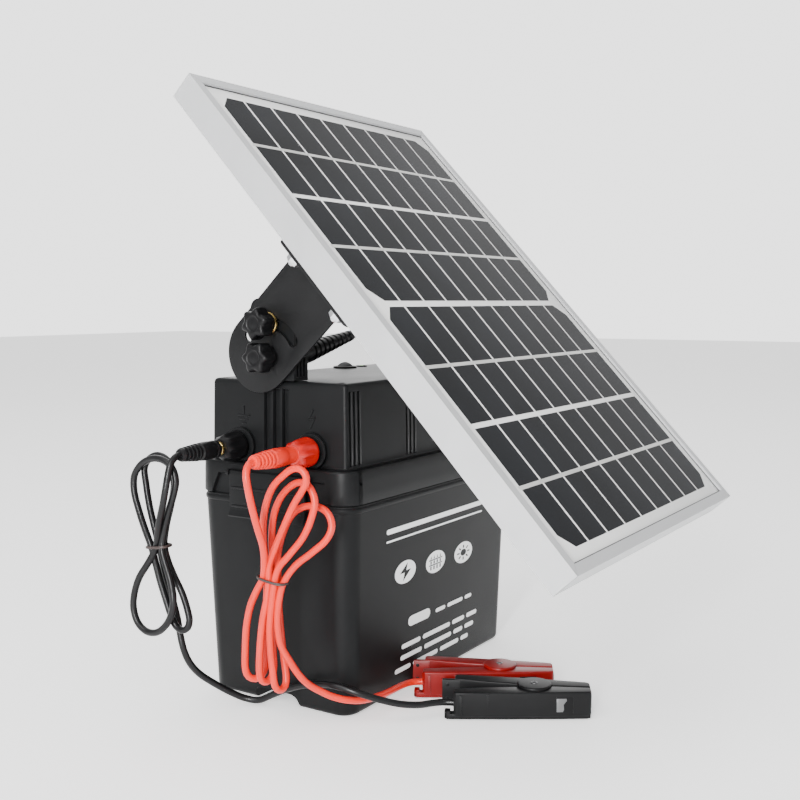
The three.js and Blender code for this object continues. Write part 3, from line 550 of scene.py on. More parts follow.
def clip_half(name, body, slot, place, stands_for, sign):
    """One insulated half: a boxy shell with ribs, a rear hook, a painted shadow plate at the nose window
    and its pivot lugs.
    """
    def mirrored(outline):
        return [(x, sign * y) for x, y in outline]

    # The foot of the shell leaves a notch near its rear end, behind a small hook.
    foot = [(9, 9.5), (9, 14.9), (30, 13.6), (62, 10.4), (76.5, 8.6), (78.6, 7.6), (78.6, 1.2),
            (57, 1.2), (38, 3), (26, 4.2), (14, 6.4)]
    hook = [(-5.2, 10), (-5.2, 14.2), (-3.6, 15.8), (10, 15.1), (10, 9.8)]
    tip = [(-5.2, 10.2), (-5.2, 14.2), (-3.6, 15.8), (-1.8, 15.6), (-1.8, 10.2)]
    shell = [prism(clip_side(sign), 1.6, CLIP_H, edge=0.9, steps=3),
             prism(mirrored(foot), 0, 4, edge=0.7),
             prism(mirrored(hook), 0, 3.4, edge=0.7),
             prism(mirrored(tip), 0, 5.0, edge=0.7)]
    if sign > 0:
        shell.append(brick(-7.5, 7.4, 1.0, 3.0, 10.4, 15.4, edge=0.6))
    for x, low, high in ((4.2, 2.2, 14.4), (19.5, 3.6, 14.8)):
        y = 15.95 - (x - 1.6) * 0.089
        rib = [(x - 0.7, y - 0.8), (x + 0.7, y - 0.8), (x + 0.7, y + 0.9), (x - 0.7, y + 0.9)]
        shell.append(prism(mirrored(rib), low, high, edge=0.3))
    top, lug_low, lug_high = (CLIP_H - 1.6, 0.7, 3.2) if sign < 0 else (CLIP_H - 3.4, 2.6, 2.4)
    lug = circle(10.0, 40, CLIP_PIVOT)
    shell.append(prism(lug, top, top + lug_high, edge=0.8, steps=3))
    shell.append(prism(lug, lug_low, lug_low + 2.4, edge=0.8))
    obj = piece(name, merge(*shell), body, slot, place=place, stands_for=stands_for, angle=38)

    def on_side(u, v, w):
        """u along the clip, v up, w out of the side face."""
        y = 10.6 - (u - 62) * 0.124 + w
        return (u, sign * y, v)

    # The window near the nose is a dark plate of painted shadow, with the metal jaw drawn in front of it.
    x0, x1 = 58.5, 68.5
    window_shadow = [(x0, 3.8), (x1, 3.8), (x1, 13.2), (x0, 13.2)]
    jaw = [(x0 + 0.4, 4.6), (x0 + 4.0, 4.6), (x0 + 4.6, 6.2), (x0 + 4.4, 9.0), (x0 + 6.2, 11.2),
           (x0 + 6.0, 12.4), (x0 + 0.4, 12.4)]
    details = []
    for label, outline, low, high, look in (("window_shadow", window_shadow, -0.4, 0.12, "knob_black"),
                                            ("jaw", jaw, -0.3, 0.34, "jaw_steel")):
        points, faces = prism(outline, low, high, edge=0.08)
        part = [on_side(*p) for p in points], faces
        details.append(piece(f"{name}_{label}", part, body, look, place=place))
    # The moving half gets two thin dark discs on its rear face: painted shade standing in for the inside
    # of two small holes.
    if sign > 0:
        hole_shade_disc = turned([(0, 1.1), (0.25, 1.1), (0.3, 1.0)], 16)
        holes = [placed(hole_shade_disc, at(-4.4, 7.45, z, "-y")) for z in (3.9, 12.4)]
        details.append(piece(f"{name}_holes", merge(*holes), body, "knob_black", place=place))
    # The steel jaw runs inside the shell and shows as teeth along the gap at the nose.
    saw = [(58 + 2.4 * i, sign * (0.12 if i % 2 else 0.42)) for i in range(9, -1, -1)]
    teeth = prism([(58, sign * 1.6), (79.6, sign * 1.6), *saw], 4.2, 12.2, edge=0.05)
    details.append(piece(f"{name}_teeth", teeth, body, "jaw_steel", place=place))
    return [obj, *details]


def clip(name, place, slot):
    body = clip_half(f"{name}_clip_fixed", "head", slot, place, [f"{name}_clip_body"], -1)
    arm = clip_half(f"{name}_clip_moving", f"{name}_clip_arm", slot, place, [f"{name}_clip_arm"], 1)
    profile = [(0.0, 1.9), (17.4, 1.9), (17.8, 1.8), (17.9, 1.4), (17.6, 1.0), (17.4, 0.4)]
    rivet = placed(turned(profile, 32), at(CLIP_PIVOT, 0, 0.1, "z"))
    pin = piece(f"{name}_clip_rivet", rivet, "head", "jaw_steel", place=place,
                stands_for=[f"{name}_clip_pin"])
    turns = [6 * math.pi * i / 60 for i in range(61)]
    coil = [(CLIP_PIVOT + 4.6 * math.cos(a), 4.6 * math.sin(a), 5 + a / math.pi) for a in turns]
    coil = [(CLIP_PIVOT - 16, -4.4, 5), *coil, (CLIP_PIVOT - 16, 4.4, 11)]
    wire = sweep(catmull(coil, 1.2), 0.65, 8)
    spring = piece(f"{name}_clip_spring", wire, "head", "jaw_steel", place=place)
    return [*body, *arm, pin, spring]


red_clip = clip("fence", clip_place(-28.8, -62.5), "clip_red")
black_clip = clip("earth", clip_place(-48.8, -95.5), "clip_black")


# ---- battery box and housing: lofts whose sides carry grooves and recesses ----
def ring(w, d, r, z, sides, into=0.0, steps=6):
    """A rounded rectangle at height z. sides gives, for "x" and "y" faces, stations (position, depth)."""
    w, d, r = w - 2 * into, d - 2 * into, max(r - into, 0.6)
    hx, hy = w / 2 - r, d / 2 - r
    points = []

    def corner(cx, cy, start):
        points.extend((x, y, z) for x, y in arc(cx, cy, r, start, start + 90, steps))

    points += [(w / 2 - deep, s, z) for s, deep in sides["x"]]
    corner(hx, hy, 0)
    points += [(s, d / 2 - deep, z) for s, deep in sides["y"][::-1]]
    corner(-hx, hy, 90)
    points += [(-w / 2 + deep, s, z) for s, deep in sides["x"][::-1]]
    corner(-hx, -hy, 180)
    points += [(s, -d / 2 + deep, z) for s, deep in sides["y"]]
    corner(hx, -hy, 270)
    return points


def groove(centre, half, deep):
    """Stations across one groove with rounded edges."""
    steps = ((-half - 0.35, 0), (-half - 0.05, 0.25), (-half + 0.15, 0.85), (-half + 0.5, 1.0))
    left = [(centre + s, deep * k) for s, k in steps]
    return left + [(centre - s, deep * k) for s, k in steps[::-1]]


def head_sides(grooves, recess, spread):
    """Stations of the head's faces: grooves and the latch recess, with given depths in mm."""
    x_face = [(-spread - 0.6, 0), (-spread, recess), (-24, recess)]
    for centre in (-6.8, 0, 6.8):
        x_face += groove(centre, 2.3, grooves)
    x_face = [(s, max(deep, recess) if abs(s) < spread else deep) for s, deep in x_face]
    x_face += [(24, recess), (spread, recess), (spread + 0.6, 0)]
    y_face = []
    for centre in (-83.9, -24, 24, 83.9):
        for step in (-4.3, 0, 4.3):
            y_face += groove(centre + step, 1.2, grooves)
    return {"x": x_face, "y": y_face}


SKIRT_LOW, LEDGE, HEAD_TOP_Z = 124.3, 144.0, 193.0
GROOVE = 2.7  # depth
SOCKET = (194.2, 109.2, 10.1)


def housing():
    rings = []

    def skirt(z, into, recess=0.0, spread=38.0):
        rings.append(ring(200, 115, 13, z, head_sides(0, recess, spread), into))

    def socket(z, into=0.0):
        rings.append(ring(*SOCKET, z, head_sides(0, 0, 38), into))

    socket(133.4, 6)
    socket(133.6, 0)
    socket(SKIRT_LOW + 0.5)
    socket(SKIRT_LOW, -0.5)
    for station in ((SKIRT_LOW, 0.7, 1.0, 45), (SKIRT_LOW + 0.2, 0.25, 1.6, 44.6),
                    (SKIRT_LOW + 0.8, 0, 2.0, 44), (131, 0.1, 2.0, 41.5), (135.6, 0.2, 2.0, 39.4),
                    (136.3, 0.2, 1.5, 39.1), (136.9, 0.2, 0.2, 38.8), (137.2, 0.2),
                    (LEDGE - 1.6, 0.35), (LEDGE - 0.7, 0.6), (LEDGE - 0.2, 1.1), (LEDGE, 1.8)):
        skirt(*station)

    def shell(z, grooves=0.0, into=0.0):
        t = (z - 142) / (HEAD_TOP_Z - 142)
        w, d = 186 - 1.6 * t, 101 - 1.6 * t
        rings.append(ring(w, d, 2.5, z, head_sides(grooves, 0, 38), into))

    for station in ((LEDGE, 0, -1.6), (LEDGE + 0.15, 0, -0.7), (LEDGE + 0.6, 0, -0.2),
                    (LEDGE + 1.2,), (LEDGE + 1.8,), (LEDGE + 2.3, GROOVE), (160, GROOVE),
                    (175, GROOVE), (188, GROOVE), (188.5,), (HEAD_TOP_Z - 2.6,)):
        shell(*station)
    for k in range(1, 6):
        a = math.pi / 2 * k / 5
        shell(HEAD_TOP_Z - 2.6 * (1 - math.sin(a)), into=2.6 * (1 - math.cos(a)))
    shell(HEAD_TOP_Z, into=8)
    return loft(rings)


def carved(obj, *cutters):
    """obj with the cutters' volumes taken out of its mesh."""
    for part in cutters:
        mesh = bpy.data.meshes.new("cutter")
        mesh.from_pydata([BOX @ Vector(p) for p in part[0]], [], part[1])
        tool = bpy.data.objects.new("cutter", mesh)
        scene.collection.objects.link(tool)
        modifier = obj.modifiers.new("cut", "BOOLEAN")
        modifier.operation, modifier.solver, modifier.object = "DIFFERENCE", "EXACT", tool
        bpy.context.view_layer.update()
        graph = bpy.context.evaluated_depsgraph_get()
        cut = bpy.data.meshes.new_from_object(obj.evaluated_get(graph))
        obj.modifiers.clear()
        old = obj.data
        obj.data = cut
        cut.name = obj.name
        bpy.data.meshes.remove(old)
        bpy.data.objects.remove(tool)
        bpy.data.meshes.remove(mesh)
    for face in obj.data.polygons:
        face.use_smooth = True
    obj.data.set_sharp_from_angle(angle=math.radians(32))
    return obj


def box_shell():
    """The battery box: outside from the floor up, the spigot, and the inside down to its floor."""
    plain = {"x": [(-34, 0), (-33, 0), (33, 0), (34, 0)], "y": []}
    rings = []

    def outside(z, into=0.0):
        t = z / 124
        rings.append(ring(189.6 + 8.4 * t, 104.6 + 8.4 * t, 11 + t, z, plain, into, steps=10))

    for k in range(6):
        a = math.pi / 2 * k / 5
        outside(3.2 * (1 - math.cos(a)), 3.2 * (1 - math.sin(a)))
    for z in (30, 60, 90, 112):
        outside(z)
    outside(119.4)
    outside(119.9, -0.5)
    outside(120.4, -0.7)
    outside(121.8, -0.7)
    outside(122.3, -0.4)
    outside(122.8, 0.1)
    outside(123.6, 0.2)
    outside(124, 0.6)
    for z, into in ((124, 0), (127.4, 0), (127.8, 0.2), (128, 0.6), (128, 2.4), (127.8, 2.8), (127.4, 3)):
        rings.append(ring(193, 108, 9.5, z, plain, into, steps=10))
    for z, into in ((60, 3.0), (14, 3.1), (11, 4), (10, 7)):
        t = (z - 10) / 118
        rings.append(ring(183.6 + 9.4 * t + 6, 98.6 + 9.4 * t + 6, 11, z, plain, into, steps=10))
    return loft(rings)


box = piece("battery_box_moulded", box_shell(), "base", "case_plastic", stands_for=["battery_box"])
arch = [(-16.5, -3), (16.5, -3), (16.5, 4.5), *arc(14, 4.5, 2.5, 0, 90, 4), *arc(-9.5, 0, 7, 90, 180, 6)]
box = carved(box, prism(arch, -130, 130, edge=0.01, plane="yz", steps=1))
ribs = []
for side in (-1, 1):
    x_low, x_high = sorted((side * 77, side * 93.5))
    y_low, y_high = sorted((side * 33.8, side * 51))
    for y in (-18, 18):
        ribs.append(brick(x_low, y - 1.4, 9, x_high, y + 1.4, 60))
    for x in (-45, 45):
        ribs.append(brick(x - 1.4, y_low, 9, x + 1.4, y_high, 60))
piece("battery_box_ribs", merge(*ribs), "base", "case_plastic")
catch_outline = [(-98.2, 113.2), (-101.0, 114.6), (-101.3, 117.2), (-98.4, 118.6)]
catch = prism(catch_outline, -24, 24, edge=0.3, plane="xz")
piece("battery_box_catches", merge(catch, mirror_x(catch)), "base", "case_plastic")

head = piece("energizer_shell", housing(), "head", "case_plastic", stands_for=["energizer_housing"])
BUTTON_X, LENS_X, TOP_ROW_Y = 30.0, 50.0, 38.0
BUTTON_BORE, LENS_BORE = 11.0, 5.0  # depths below the top


def on_top(x, profile, n, above):
    """A turned part on the head's top, starting at a height from it."""
    return placed(turned(profile, n), at(x, TOP_ROW_Y, HEAD_TOP_Z + above, "z"))


carved(head, on_top(BUTTON_X, [(0, 6.3), (14, 6.3)], 40, -BUTTON_BORE),
       on_top(LENS_X, [(0, 2.6), (9, 2.6)], 24, -LENS_BORE))
button_trim = [(0, 6.4), (0.2, 8.0), (0.8, 8.4), (1.3, 8.1), (1.5, 7.4), (1.2, 6.5), (0, 6.35)]
lens_trim = [(0, 2.7), (0.1, 4.0), (0.6, 4.2), (0.9, 3.8), (0.9, 2.9), (0, 2.65)]
trims = [on_top(BUTTON_X, button_trim, 48, -0.1), on_top(LENS_X, lens_trim, 32, -0.1)]
piece("top_trims", merge(*trims), "head", "knob_black")


# ---- raised generic symbols over the terminals ----
def bar_on_face(y0, z0, y1, z1, width=1.2, proud=0.35, x=-92.6):
    """A raised bar on the terminal face from (y0, z0) to (y1, z1)."""
    a, b = Vector((y0, z0)), Vector((y1, z1))
    along = (b - a).normalized() * width / 2
    across = Vector((-along.y, along.x))
    corners = (a - along + across, a - along - across, b + along - across, b + along + across)
    outline = [tuple(corner) for corner in corners]
    return prism(outline, x - proud, x + 0.4, edge=0.25, plane="yz")


earth_y, bolt_y, symbol_z = 25, -26, 171.5
marks = [bar_on_face(earth_y, symbol_z + 5.2, earth_y, symbol_z + 0.4)]
for i, half in enumerate((4.2, 2.8, 1.2)):
    marks.append(bar_on_face(earth_y - half, symbol_z - 2.3 * i, earth_y + half, symbol_z - 2.3 * i))
zigzag = [(0.6, 5.6), (-2.2, 0.4), (2.0, 1.2), (-1.0, -4.8)]
for (y0, z0), (y1, z1) in zip(zigzag, zigzag[1:]):
    marks.append(bar_on_face(bolt_y - y0, symbol_z + z0, bolt_y - y1, symbol_z + z1))
piece("terminal_symbols", merge(*marks), "head", "case_plastic")


# ---- terminals ----
def terminal(name, y, slot):
    base = [(-1.5, 9.6), (-0.6, 10.4), (0.2, 10.7), (1.4, 10.7), (1.9, 10.3), (2.0, 9.2), (1.6, 8.9),
            (1.6, 7.4)]
    piece(f"{name}_terminal_flange", placed(turned(base, 56), at(-93.6, y, TERMINAL_Z, "-x")), "head",
          "case_plastic", stands_for=[f"{name}_terminal_base"])
    grip = [(0, 6.4), (0.2, 7.6), (0.7, 8.4), (1.6, 8.8, 0.1), (3.0, 8.9, 0.5), (4.2, 8.8, 1.0),
            (10.2, 8.3, 1.1), (12.2, 7.9, 1.0), (13.4, 7.3, 0.7), (14.2, 6.6, 0.3), (14.8, 5.9),
            (15.5, 5.4), (15.7, 4.7)]
    piece(f"{name}_knob_ribbed", placed(turned(grip, 96, lobes=8), at(-96.8, y, TERMINAL_Z, "-x")),
          f"{name}_knob", slot, stands_for=[f"{name}_knob"])
    post = [(0, 2.5), (16.2, 2.5), (16.3, 3.9), (16.5, 4.25), (18.0, 4.25), (18.3, 3.9), (18.5, 3.3),
            (18.6, 2.5)]
    piece(f"{name}_post", placed(turned(post, 32), at(-96.6, y, TERMINAL_Z, "-x")), "head", "brass",
          stands_for=[f"{name}_stud"])


terminal("fence", -TERMINAL_Y, "knob_red")
terminal("earth", TERMINAL_Y, "knob_black")


# ---- latches ----
def latch_part():
    """A hinged plate with a hook at its foot, two ribs across it and a pin at each end."""
    plate = [(-100.4, 139.5), (-102.0, 139.5), (-102.8, 139.0), (-103.3, 136.8), (-103.3, 118),
             (-103.7, 115.2), (-104.9, 112.6), (-104.6, 111.8), (-103.0, 112.0), (-101.8, 114.6),
             (-101.3, 117), (-101.3, 135.2), (-100.4, 136)]
    parts = [prism(plate, -28, 28, edge=0.4, plane="xz")]
    for low, high in ((117.5, 119), (128.5, 130)):
        rib = [(-26, low), (26, low), (26, high), (-26, high)]
        parts.append(prism(rib, -103.9, -103.1, edge=0.35, plane="yz"))
    pin = turned([(0, 1.7), (0.2, 1.9), (1.8, 1.9), (2.0, 1.7)], 20)
    parts += [placed(pin, at(-101.9, y, 138, "-y")) for y in (-28.6, 30.6)]
    return merge(*parts)


for side, latch in (("left", latch_part()), ("right", mirror_x(latch_part()))):
    piece(f"latch_{side}_plate", latch, f"latch_{side}", "case_plastic", stands_for=[f"latch_{side}"])

# ---- power button and lens ----
dome = [(0, 5.8), (5.0, 5.8), (5.6, 5.65), (6.6, 5.2), (7.6, 4.3), (8.4, 3.1), (9.0, 1.6), (9.2, 0.4)]
piece("power_button_dome", on_top(BUTTON_X, dome, 40, -5), "power_button", "seal_rubber",
      stands_for=["power_button"])


# ---- masts and tilt hardware ----
for cad_node, width in (("mast_left", 0.45), ("mast_right", 0.45), ("electronics_tray", 0.3),
                        ("circuit_board", 0.15), ("pulse_transformer", 0.8),
                        ("storage_capacitor", 0.8), ("battery_tab_positive", 0.12),
                        ("battery_tab_negative", 0.12), ("rim_gasket", 0.3), ("pulse_lens", 0.2)):
    soften(cad_node, width)
for cad_node, width in (("battery", 1.2), ("junction_box", 1.0)):
    soften(cad_node, width, 3)

STAR_GRIP = [(0, 5.4), (0.3, 6.1), (0.8, 6.3), (3.8, 6.3), (4.4, 6.6, 0.2), (4.9, 8.2, 1.4),
             (5.4, 9.1, 2.1), (6.2, 9.6, 2.4), (12.4, 9.6, 2.4), (13.4, 9.3, 2.3), (14.2, 8.6, 2.0),
             (14.7, 7.4, 1.4), (14.9, 5.6, 0.5), (14.9, 4.8), (14.5, 4.3), (14.3, 3.6), (14.5, 2.4),
             (14.7, 0.8)]
STAR_INSERT = [(0.05, 5.6), (0.3, 6.5), (1.6, 6.6), (1.9, 6.4), (2.1, 5.6)]
STAR_STUD = [(0, 2.2), (0.5, 2.7), (21.6, 2.7), (22.0, 2.4), (22.2, 1.6)]


def tilt_knob(role, z, turn, side):
    """A star knob and its stud on one mast. The lock knob also shows a brass insert."""
    def outward(profile, x, n, lobes=0, spin=0.0):
        part = placed(turned(profile, n, lobes=lobes), at(-x, PIVOT_Y, z, "-x", turn=spin))
        return mirror_x(part) if side == "right" else part

    body = f"{role}_knob_{side}"
    star = outward(STAR_GRIP, 96.1, 108, lobes=6, spin=turn)
    piece(f"{role}_star_{side}", star, body, "knob_black", stands_for=[body])
    if role == "lock":
        piece(f"lock_insert_{side}", outward(STAR_INSERT, 96.05, 36), body, "brass")
    piece(f"{role}_threaded_stud_{side}", outward(STAR_STUD, 84.4, 24), "head", "brass",
          stands_for=[f"{role}_stud_{side}"])


for side in ("left", "right"):
    tilt_knob("pivot", PIVOT_Z, 0.0, side)
    tilt_knob("lock", PIVOT_Z + LOCK_R, 0.3, side)


# ---- bracket: ear with pivot hole and lock slot, and the flange under the frame ----
BACK_Z = 69.0
EAR_CY, EAR_DROP, EAR_R = 7.2, 4.5, 23.4
BOLT_Y = (15, -26)


def bracket_part():
    top = BACK_Z - 0.3
    ear = [(EAR_CY + EAR_R, top - 1.0), (EAR_CY - EAR_R, top - 1.0),
           *arc(EAR_CY, -EAR_DROP, EAR_R, 180, 360, 48)]
    slot_from, slot_to, half = -8, 104, 3.5

    def slot_end(angle, start):
        """The round end of the slot at an angle about the pivot."""
        a = math.radians(angle)
        return arc(LOCK_R * math.cos(a), LOCK_R * math.sin(a), half, start, start + 180, 10)

    slot = arc(0, 0, LOCK_R + half, slot_from, slot_to, 24)
    slot += slot_end(slot_to, slot_to)[1:]
    slot += arc(0, 0, LOCK_R - half, slot_to, slot_from, 20)[1:]
    slot += slot_end(slot_from, slot_from + 180)[1:-1]
    hole = arc(0, 0, 3.0, 0, 345, 23)
    parts = [prism(ear, -95.8, -93.8, holes=[slot, hole], edge=0.35, plane="yz")]
    flange = [(-124.5, -34), (-124.5, 23.6), *arc(-121.5, 23.6, 3, 180, 90, 4)[1:], (-94.4, 26.6),
              (-94.4, -37), *arc(-121.5, -34, 3, 270, 180, 4)]
    bolts = [circle(2.4, 20, -118, y) for y in BOLT_Y]
    slots = [[*arc(-106, y, 2.4, 90, 270, 8), *arc(-102, y, 2.4, -90, 90, 8)] for y in BOLT_Y]
    parts.append(prism(flange, top - 2, top, holes=bolts + slots, edge=0.35))
    return merge(*parts)


for side, bracket in (("left", bracket_part()), ("right", mirror_x(bracket_part()))):
    piece(f"bracket_{side}_steel", bracket, "panel", "bracket_steel", place=PANEL,
          stands_for=[f"bracket_{side}"])


def flange_bolt(x, y):
    low = BACK_Z - 2.6
    return merge(prism(circle(4.9, 28, x, y), low - 0.9, low - 0.1, edge=0.15),
                 prism(circle(4.4, 6, x, y), low - 4.3, low - 0.8, edge=0.5),
                 prism(circle(1.95, 20, x, y), low - 6.0, BACK_Z + 2.4, edge=0.4))


for side, sign in (("left", -1), ("right", 1)):
    for level, y in zip(("upper", "lower"), BOLT_Y):
        piece(f"hex_bolt_{side}_{level}", flange_bolt(sign * 118, y), "panel", "zinc_steel",
              place=PANEL, stands_for=[f"flange_bolt_{side}_{level}"])

# ---- solar panel ----
for side in ("lower", "upper", "left", "right"):
    soften(f"panel_frame_{side}", 0.5, 3)
GLASS_Y, GLASS_TOP = -36.0, 84.2
CELL_X, CELL_GAP = 111.6, 1.9
ROWS = ((161.2, 121.6), (119.6, 82.0), (79.0, 43.0), (41.0, 1.8),
        (-2.6, -43.6), (-45.8, -82.6), (-85.8, -122.6), (-124.6, -161.6))
CHAMFER = 9.0
CELL_LOW, CELL_HIGH = 0.01, 0.07  # above the laminate


def cell_parts():
    """The dark cells, with cut corners where a wafer ended."""
    pitch = (2 * CELL_X + CELL_GAP) / 9
    parts = []
    for index, (high, low) in enumerate(ROWS):
        for column in range(9):
            x0 = -CELL_X + column * pitch
            x1 = x0 + pitch - CELL_GAP
            cut_top = CHAMFER if index in (0, 4) else 0
            cut_low = CHAMFER if index in (3, 7) else 0
            outline = []
            for x, y, inward, cut, along_first in (
                    (x0, low, 1, cut_low, False), (x1, low, -1, cut_low, True),
                    (x1, high, -1, cut_top, False), (x0, high, 1, cut_top, True)):
                edge_cell = column == (0 if inward > 0 else 8)
                if not (cut and edge_cell):
                    outline.append((x, y))
                    continue
                along = (x + inward * cut, y)
                down = (x, y + cut if y == low else y - cut)
                outline += [along, down] if along_first else [down, along]
            outline = [(x, y + GLASS_Y) for x, y in outline]
            count = len(outline)
            points = [(x, y, GLASS_TOP + z) for z in (CELL_LOW, CELL_HIGH) for x, y in outline]
            faces = [list(range(count, 2 * count)), list(range(count))[::-1]]
            faces += [[i, (i + 1) % count, count + (i + 1) % count, count + i] for i in range(count)]
            parts.append((points, faces))
    return merge(*parts)


def flat_strip(x0, y0, x1, y1, low=0.01, high=0.09):
    return brick(x0, y0 + GLASS_Y, GLASS_TOP + low, x1, y1 + GLASS_Y, GLASS_TOP + high, edge=0.02)


glass = brick(-122, GLASS_Y - 172, GLASS_TOP - 3.5, 122, GLASS_Y + 172, GLASS_TOP, edge=0.3)
piece("laminate_sheet", glass, "panel", "solar_glass", place=PANEL, stands_for=["solar_laminate"])
piece("solar_cells", cell_parts(), "panel", "cell", place=PANEL)
LIP = 6.0
# A thin dark strip just inside the frame's lip is painted shadow: the shadow line that the lip casts on
# the laminate.
lip_shadow_x, lip_shadow_y = 125 - LIP, 175 - LIP
inner = [(x, y + GLASS_Y) for x, y in hull_box(2 * lip_shadow_x - 1.6, 2 * lip_shadow_y - 1.6, 0.6, 1)]
outer = [(x, y + GLASS_Y) for x, y in hull_box(2 * lip_shadow_x + 0.6, 2 * lip_shadow_y + 0.6, 0.6, 1)]
piece("lip_shadow_line", prism(outer, GLASS_TOP + 0.01, GLASS_TOP + 0.25, holes=[inner], edge=0.05), "panel",
      "seal_rubber", place=PANEL)
strips = []
for upper, lower in ((0, 1), (2, 3), (4, 5), (6, 7)):
    middle = (ROWS[upper][1] + ROWS[lower][0]) / 2
    strips.append(flat_strip(-CELL_X - 1.5, middle - 1.15, CELL_X + 1.5, middle + 1.15))
piece("solar_ribbons", merge(*strips), "panel", "ribbon", place=PANEL)

# junction box lid and gland nut under the laminate
JUNCTION_TOP = GLASS_TOP - 3.8
lid = brick(42, -12, JUNCTION_TOP - 21.6, 88, 32, JUNCTION_TOP - 19.8, edge=0.5)
screws = [placed(turned([(0, 1.9), (0.6, 1.9), (0.9, 1.5)], 20), at(x, y, JUNCTION_TOP - 21.5, "-z"))
          for x in (45.5, 84.5) for y in (-8.5, 28.5)]
nut = prism(circle(6.6, 6, 10, JUNCTION_TOP - 11), 36.2, 40.2, edge=0.5, plane="yz")
piece("junction_lid", merge(lid, nut, *screws), "panel", "case_plastic", place=PANEL)

# ---- panel lead: ribbed moulded plug from the mast, and the cable to the junction box ----
PV_RISE = math.radians(11)
PV_AT = BOX @ Matrix.Translation((-78.5, PIVOT_Y + 4, 203.5)) @ Matrix.Rotation(-PV_RISE, 4, "Y")
boot = [(0, 3.1), (3.6, 3.2), (3.8, 6.2), (4.2, 6.7), (9, 6.7), (9.6, 7.1), (12.4, 7.1), (13, 6.7),
        (22, 6.6)]
for i in range(9):
    x, r = 24 + 5.2 * i, 6.6 - 0.36 * i
    boot += [(x, r), (x + 0.4, r - 0.9), (x + 1.8, r - 0.9), (x + 2.2, r), (x + 4.6, r - 0.25)]
boot += [(71.4, 3.4), (72, 2.7)]
piece("pv_plug_boot", turned(boot, 40), "head", "lead_black", place=PV_AT, stands_for=["pv_plug"])
tip = BOX.inverted() @ PV_AT @ Vector((71.5, 0, 0))
gland = BOX.inverted() @ PANEL @ Vector((35.2, 10, JUNCTION_TOP - 11))
PV_ROUTE = [tuple(tip), (2, 6, 219), (9, 3, 223.5), (14, -4, 230), (17, -14, 238), (20, -22, 244),
            (25, -28, 248.5), (30, gland.y + 0.6, gland.z - 0.4), tuple(gland)]
PV_CABLE_R = 2.4
pv_line = catmull(PV_ROUTE, 1.5)
pv_cable = piece("pv_cable_run", sweep(pv_line, PV_CABLE_R, 14), None, "lead_black",
                 stands_for=["pv_cable"])
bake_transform(pv_cable)

# ---- foam pad over the battery ----
pad = []
for z, into in ((104.8, 2.2), (105.4, 0.8), (107.5, 0), (124, 0), (126.2, 0.8), (126.9, 2.4)):
    pad.append([(x, y, z) for x, y in hull_box(90 - 2 * into, 50 - 2 * into, 4, 5)])
foam = piece("battery_pad_foam", loft(pad), "base", "foam", stands_for=["battery_pad"])


# ---- printed label on the -Y face of the box ----
def label_point(u, v, w=0.0):
    """A point on the label face: u along X, v up, w out of the face."""
    return (u, -(52.3 + 4.2 * v / 124) - w, v)


def printed(outline, holes=()):
    part = prism(outline, -0.05, 0.06, holes=holes, edge=0.01, steps=1)
    return [label_point(*p) for p in part[0]], part[1]


def rule(x0, z0, length, height):
    end = height / 2
    return [*arc(x0 + end, z0 + end, end, 90, 270, 5), *arc(x0 + length - end, z0 + end, end, -90, 90, 5)]


OVAL, DISC_R = 0.6, 11.8
(bx, bz), (fx, fz), (sx, sz) = (-38, 75), (-2, 74), (34, 73)


def badge(x, z, holes):
    """A light oval with a sign cut out of it."""
    return printed(circle(DISC_R, 48, x, z, OVAL), holes)


bolt_sign = [(2.6, 5.6), (-6.4, -0.4), (-1, -0.3), (-2.6, -5.6), (6.4, 1), (1, 0.8)]
label = [badge(bx, bz, [[(bx + u, bz + v) for u, v in bolt_sign]])]
fence_holes = []
for i in (-5.7, -1.9, 1.9, 5.7):
    left, right = fx + i - 0.8, fx + i + 0.8
    for low, high in ((-4.6, -2.2), (-0.9, 1.1)):
        fence_holes.append([(left, fz + low), (right, fz + low), (right, fz + high), (left, fz + high)])
    fence_holes.append([(left, fz + 2.4), (right, fz + 2.4), (fx + i, fz + 4.8)])
for low in (-1.9, 1.4):
    fence_holes.append([(fx - 8.2, fz + low), (fx + 8.2, fz + low), (fx + 8.2, fz + low + 0.7),
                        (fx - 8.2, fz + low + 0.7)])
label.append(badge(fx, fz, fence_holes))
sun_holes = [circle(3.8, 28, sx, sz, OVAL)]
for i in range(8):
    a = math.pi / 4 * i
    along, across = Vector((math.cos(a), math.sin(a))), Vector((-math.sin(a), math.cos(a)))
    ray = [along * reach + across * side for reach, side in ((5, -0.8), (8.4, -0.8), (8.4, 0.8), (5, 0.8))]
    sun_holes.append([(sx + p.x, sz + p.y * OVAL) for p in ray])
label.append(badge(sx, sz, sun_holes))
label.append(printed(rule(-60, 101.5, 118, 3.2)))
label.append(printed(rule(-60, 96.5, 118, 1.2)))
for x0, z0, runs, height in ((-33, 39, (26,), 6.4), (0, 40, (12, 20, 9), 2.6),
                             (-40, 26.5, (22, 34, 16, 14), 3.0), (-41, 19.5, (25, 34, 12, 12), 3.0),
                             (-47, 12.5, (18, 30, 24, 10), 3.0)):
    for run in runs:
        label.append(printed(rule(x0, z0, run, height)))
        x0 += run + 3
piece("front_label", merge(*label), "base", "label_print")

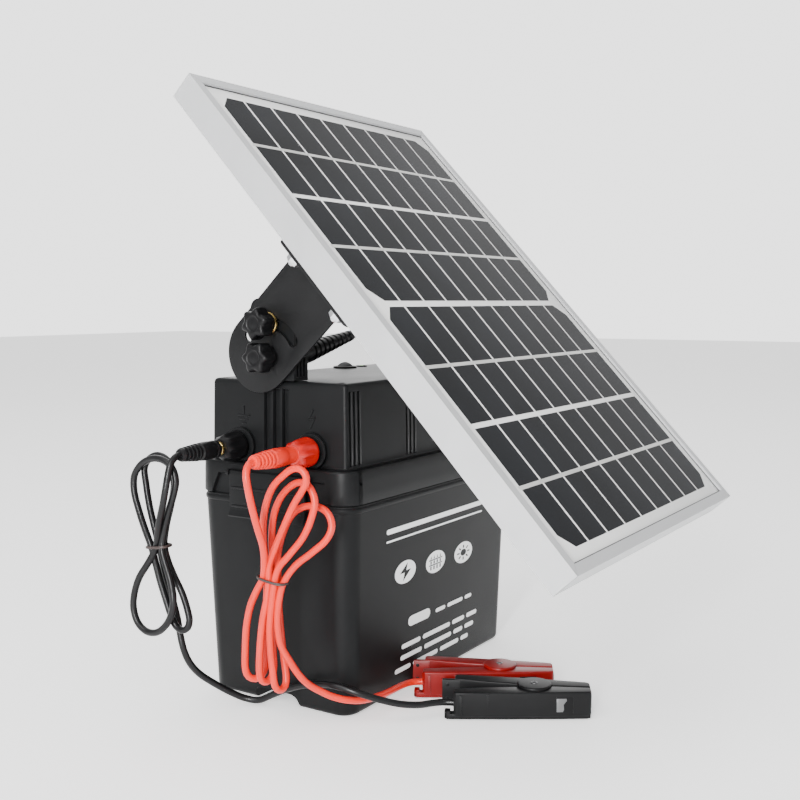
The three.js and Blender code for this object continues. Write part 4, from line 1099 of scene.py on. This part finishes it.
# ---- stage ----
bpy.ops.mesh.primitive_plane_add(size=12, location=(0, 0, -0.0003))
floor = bpy.context.object
floor.name = "floor"
floor_material = bpy.data.materials.new("floor")
floor_material.use_nodes = True
floor_shader = floor_material.node_tree.nodes["Principled BSDF"]
for socket, value in (("Base Color", (0.9, 0.9, 0.9, 1)), ("Roughness", 0.9),
                      ("Emission Color", (1, 1, 1, 1)), ("Emission Strength", 0.7)):
    floor_shader.inputs[socket].default_value = value
floor.data.materials.append(floor_material)

world = bpy.data.worlds.new("studio")
world.use_nodes = True
nodes, links = world.node_tree.nodes, world.node_tree.links
nodes["Background"].inputs["Color"].default_value = (1, 1, 1, 1)
direction = nodes.new("ShaderNodeTexCoord")
# The world is brighter behind the object, along the camera's heading.
toward = nodes.new("ShaderNodeVectorMath")
toward.operation = "DOT_PRODUCT"
toward.inputs[1].default_value = (math.sin(YAW), math.cos(YAW), 0)
backdrop = nodes.new("ShaderNodeMapRange")
backdrop.interpolation_type = "SMOOTHSTEP"
backdrop.inputs["From Min"].default_value, backdrop.inputs["From Max"].default_value = 0.72, 0.88
backdrop.inputs["To Min"].default_value, backdrop.inputs["To Max"].default_value = 0.9, 2.6
links.new(direction.outputs["Generated"], toward.inputs[0])
links.new(toward.outputs["Value"], backdrop.inputs["Value"])
links.new(backdrop.outputs["Result"], nodes["Background"].inputs["Strength"])
scene.world = world


def softbox(name, place, aim, size, power):
    data = bpy.data.lights.new(name, "AREA")
    data.shape = "RECTANGLE"
    data.size, data.size_y = size
    data.energy = power
    light = bpy.data.objects.new(name, data)
    scene.collection.objects.link(light)
    light.location = place
    light.rotation_euler = (Vector(aim) - Vector(place)).to_track_quat("-Z", "Y").to_euler()


CENTRE = (0, 0.05, 0.15)
softbox("key", (-1.3, 0.2, 1.2), CENTRE, (1.0, 1.0), 16)
softbox("overhead", (0.2, 0.3, 1.9), CENTRE, (1.6, 1.6), 14)
softbox("edge", (-1.4, -0.42, 0.3), CENTRE, (0.12, 1.1), 45)
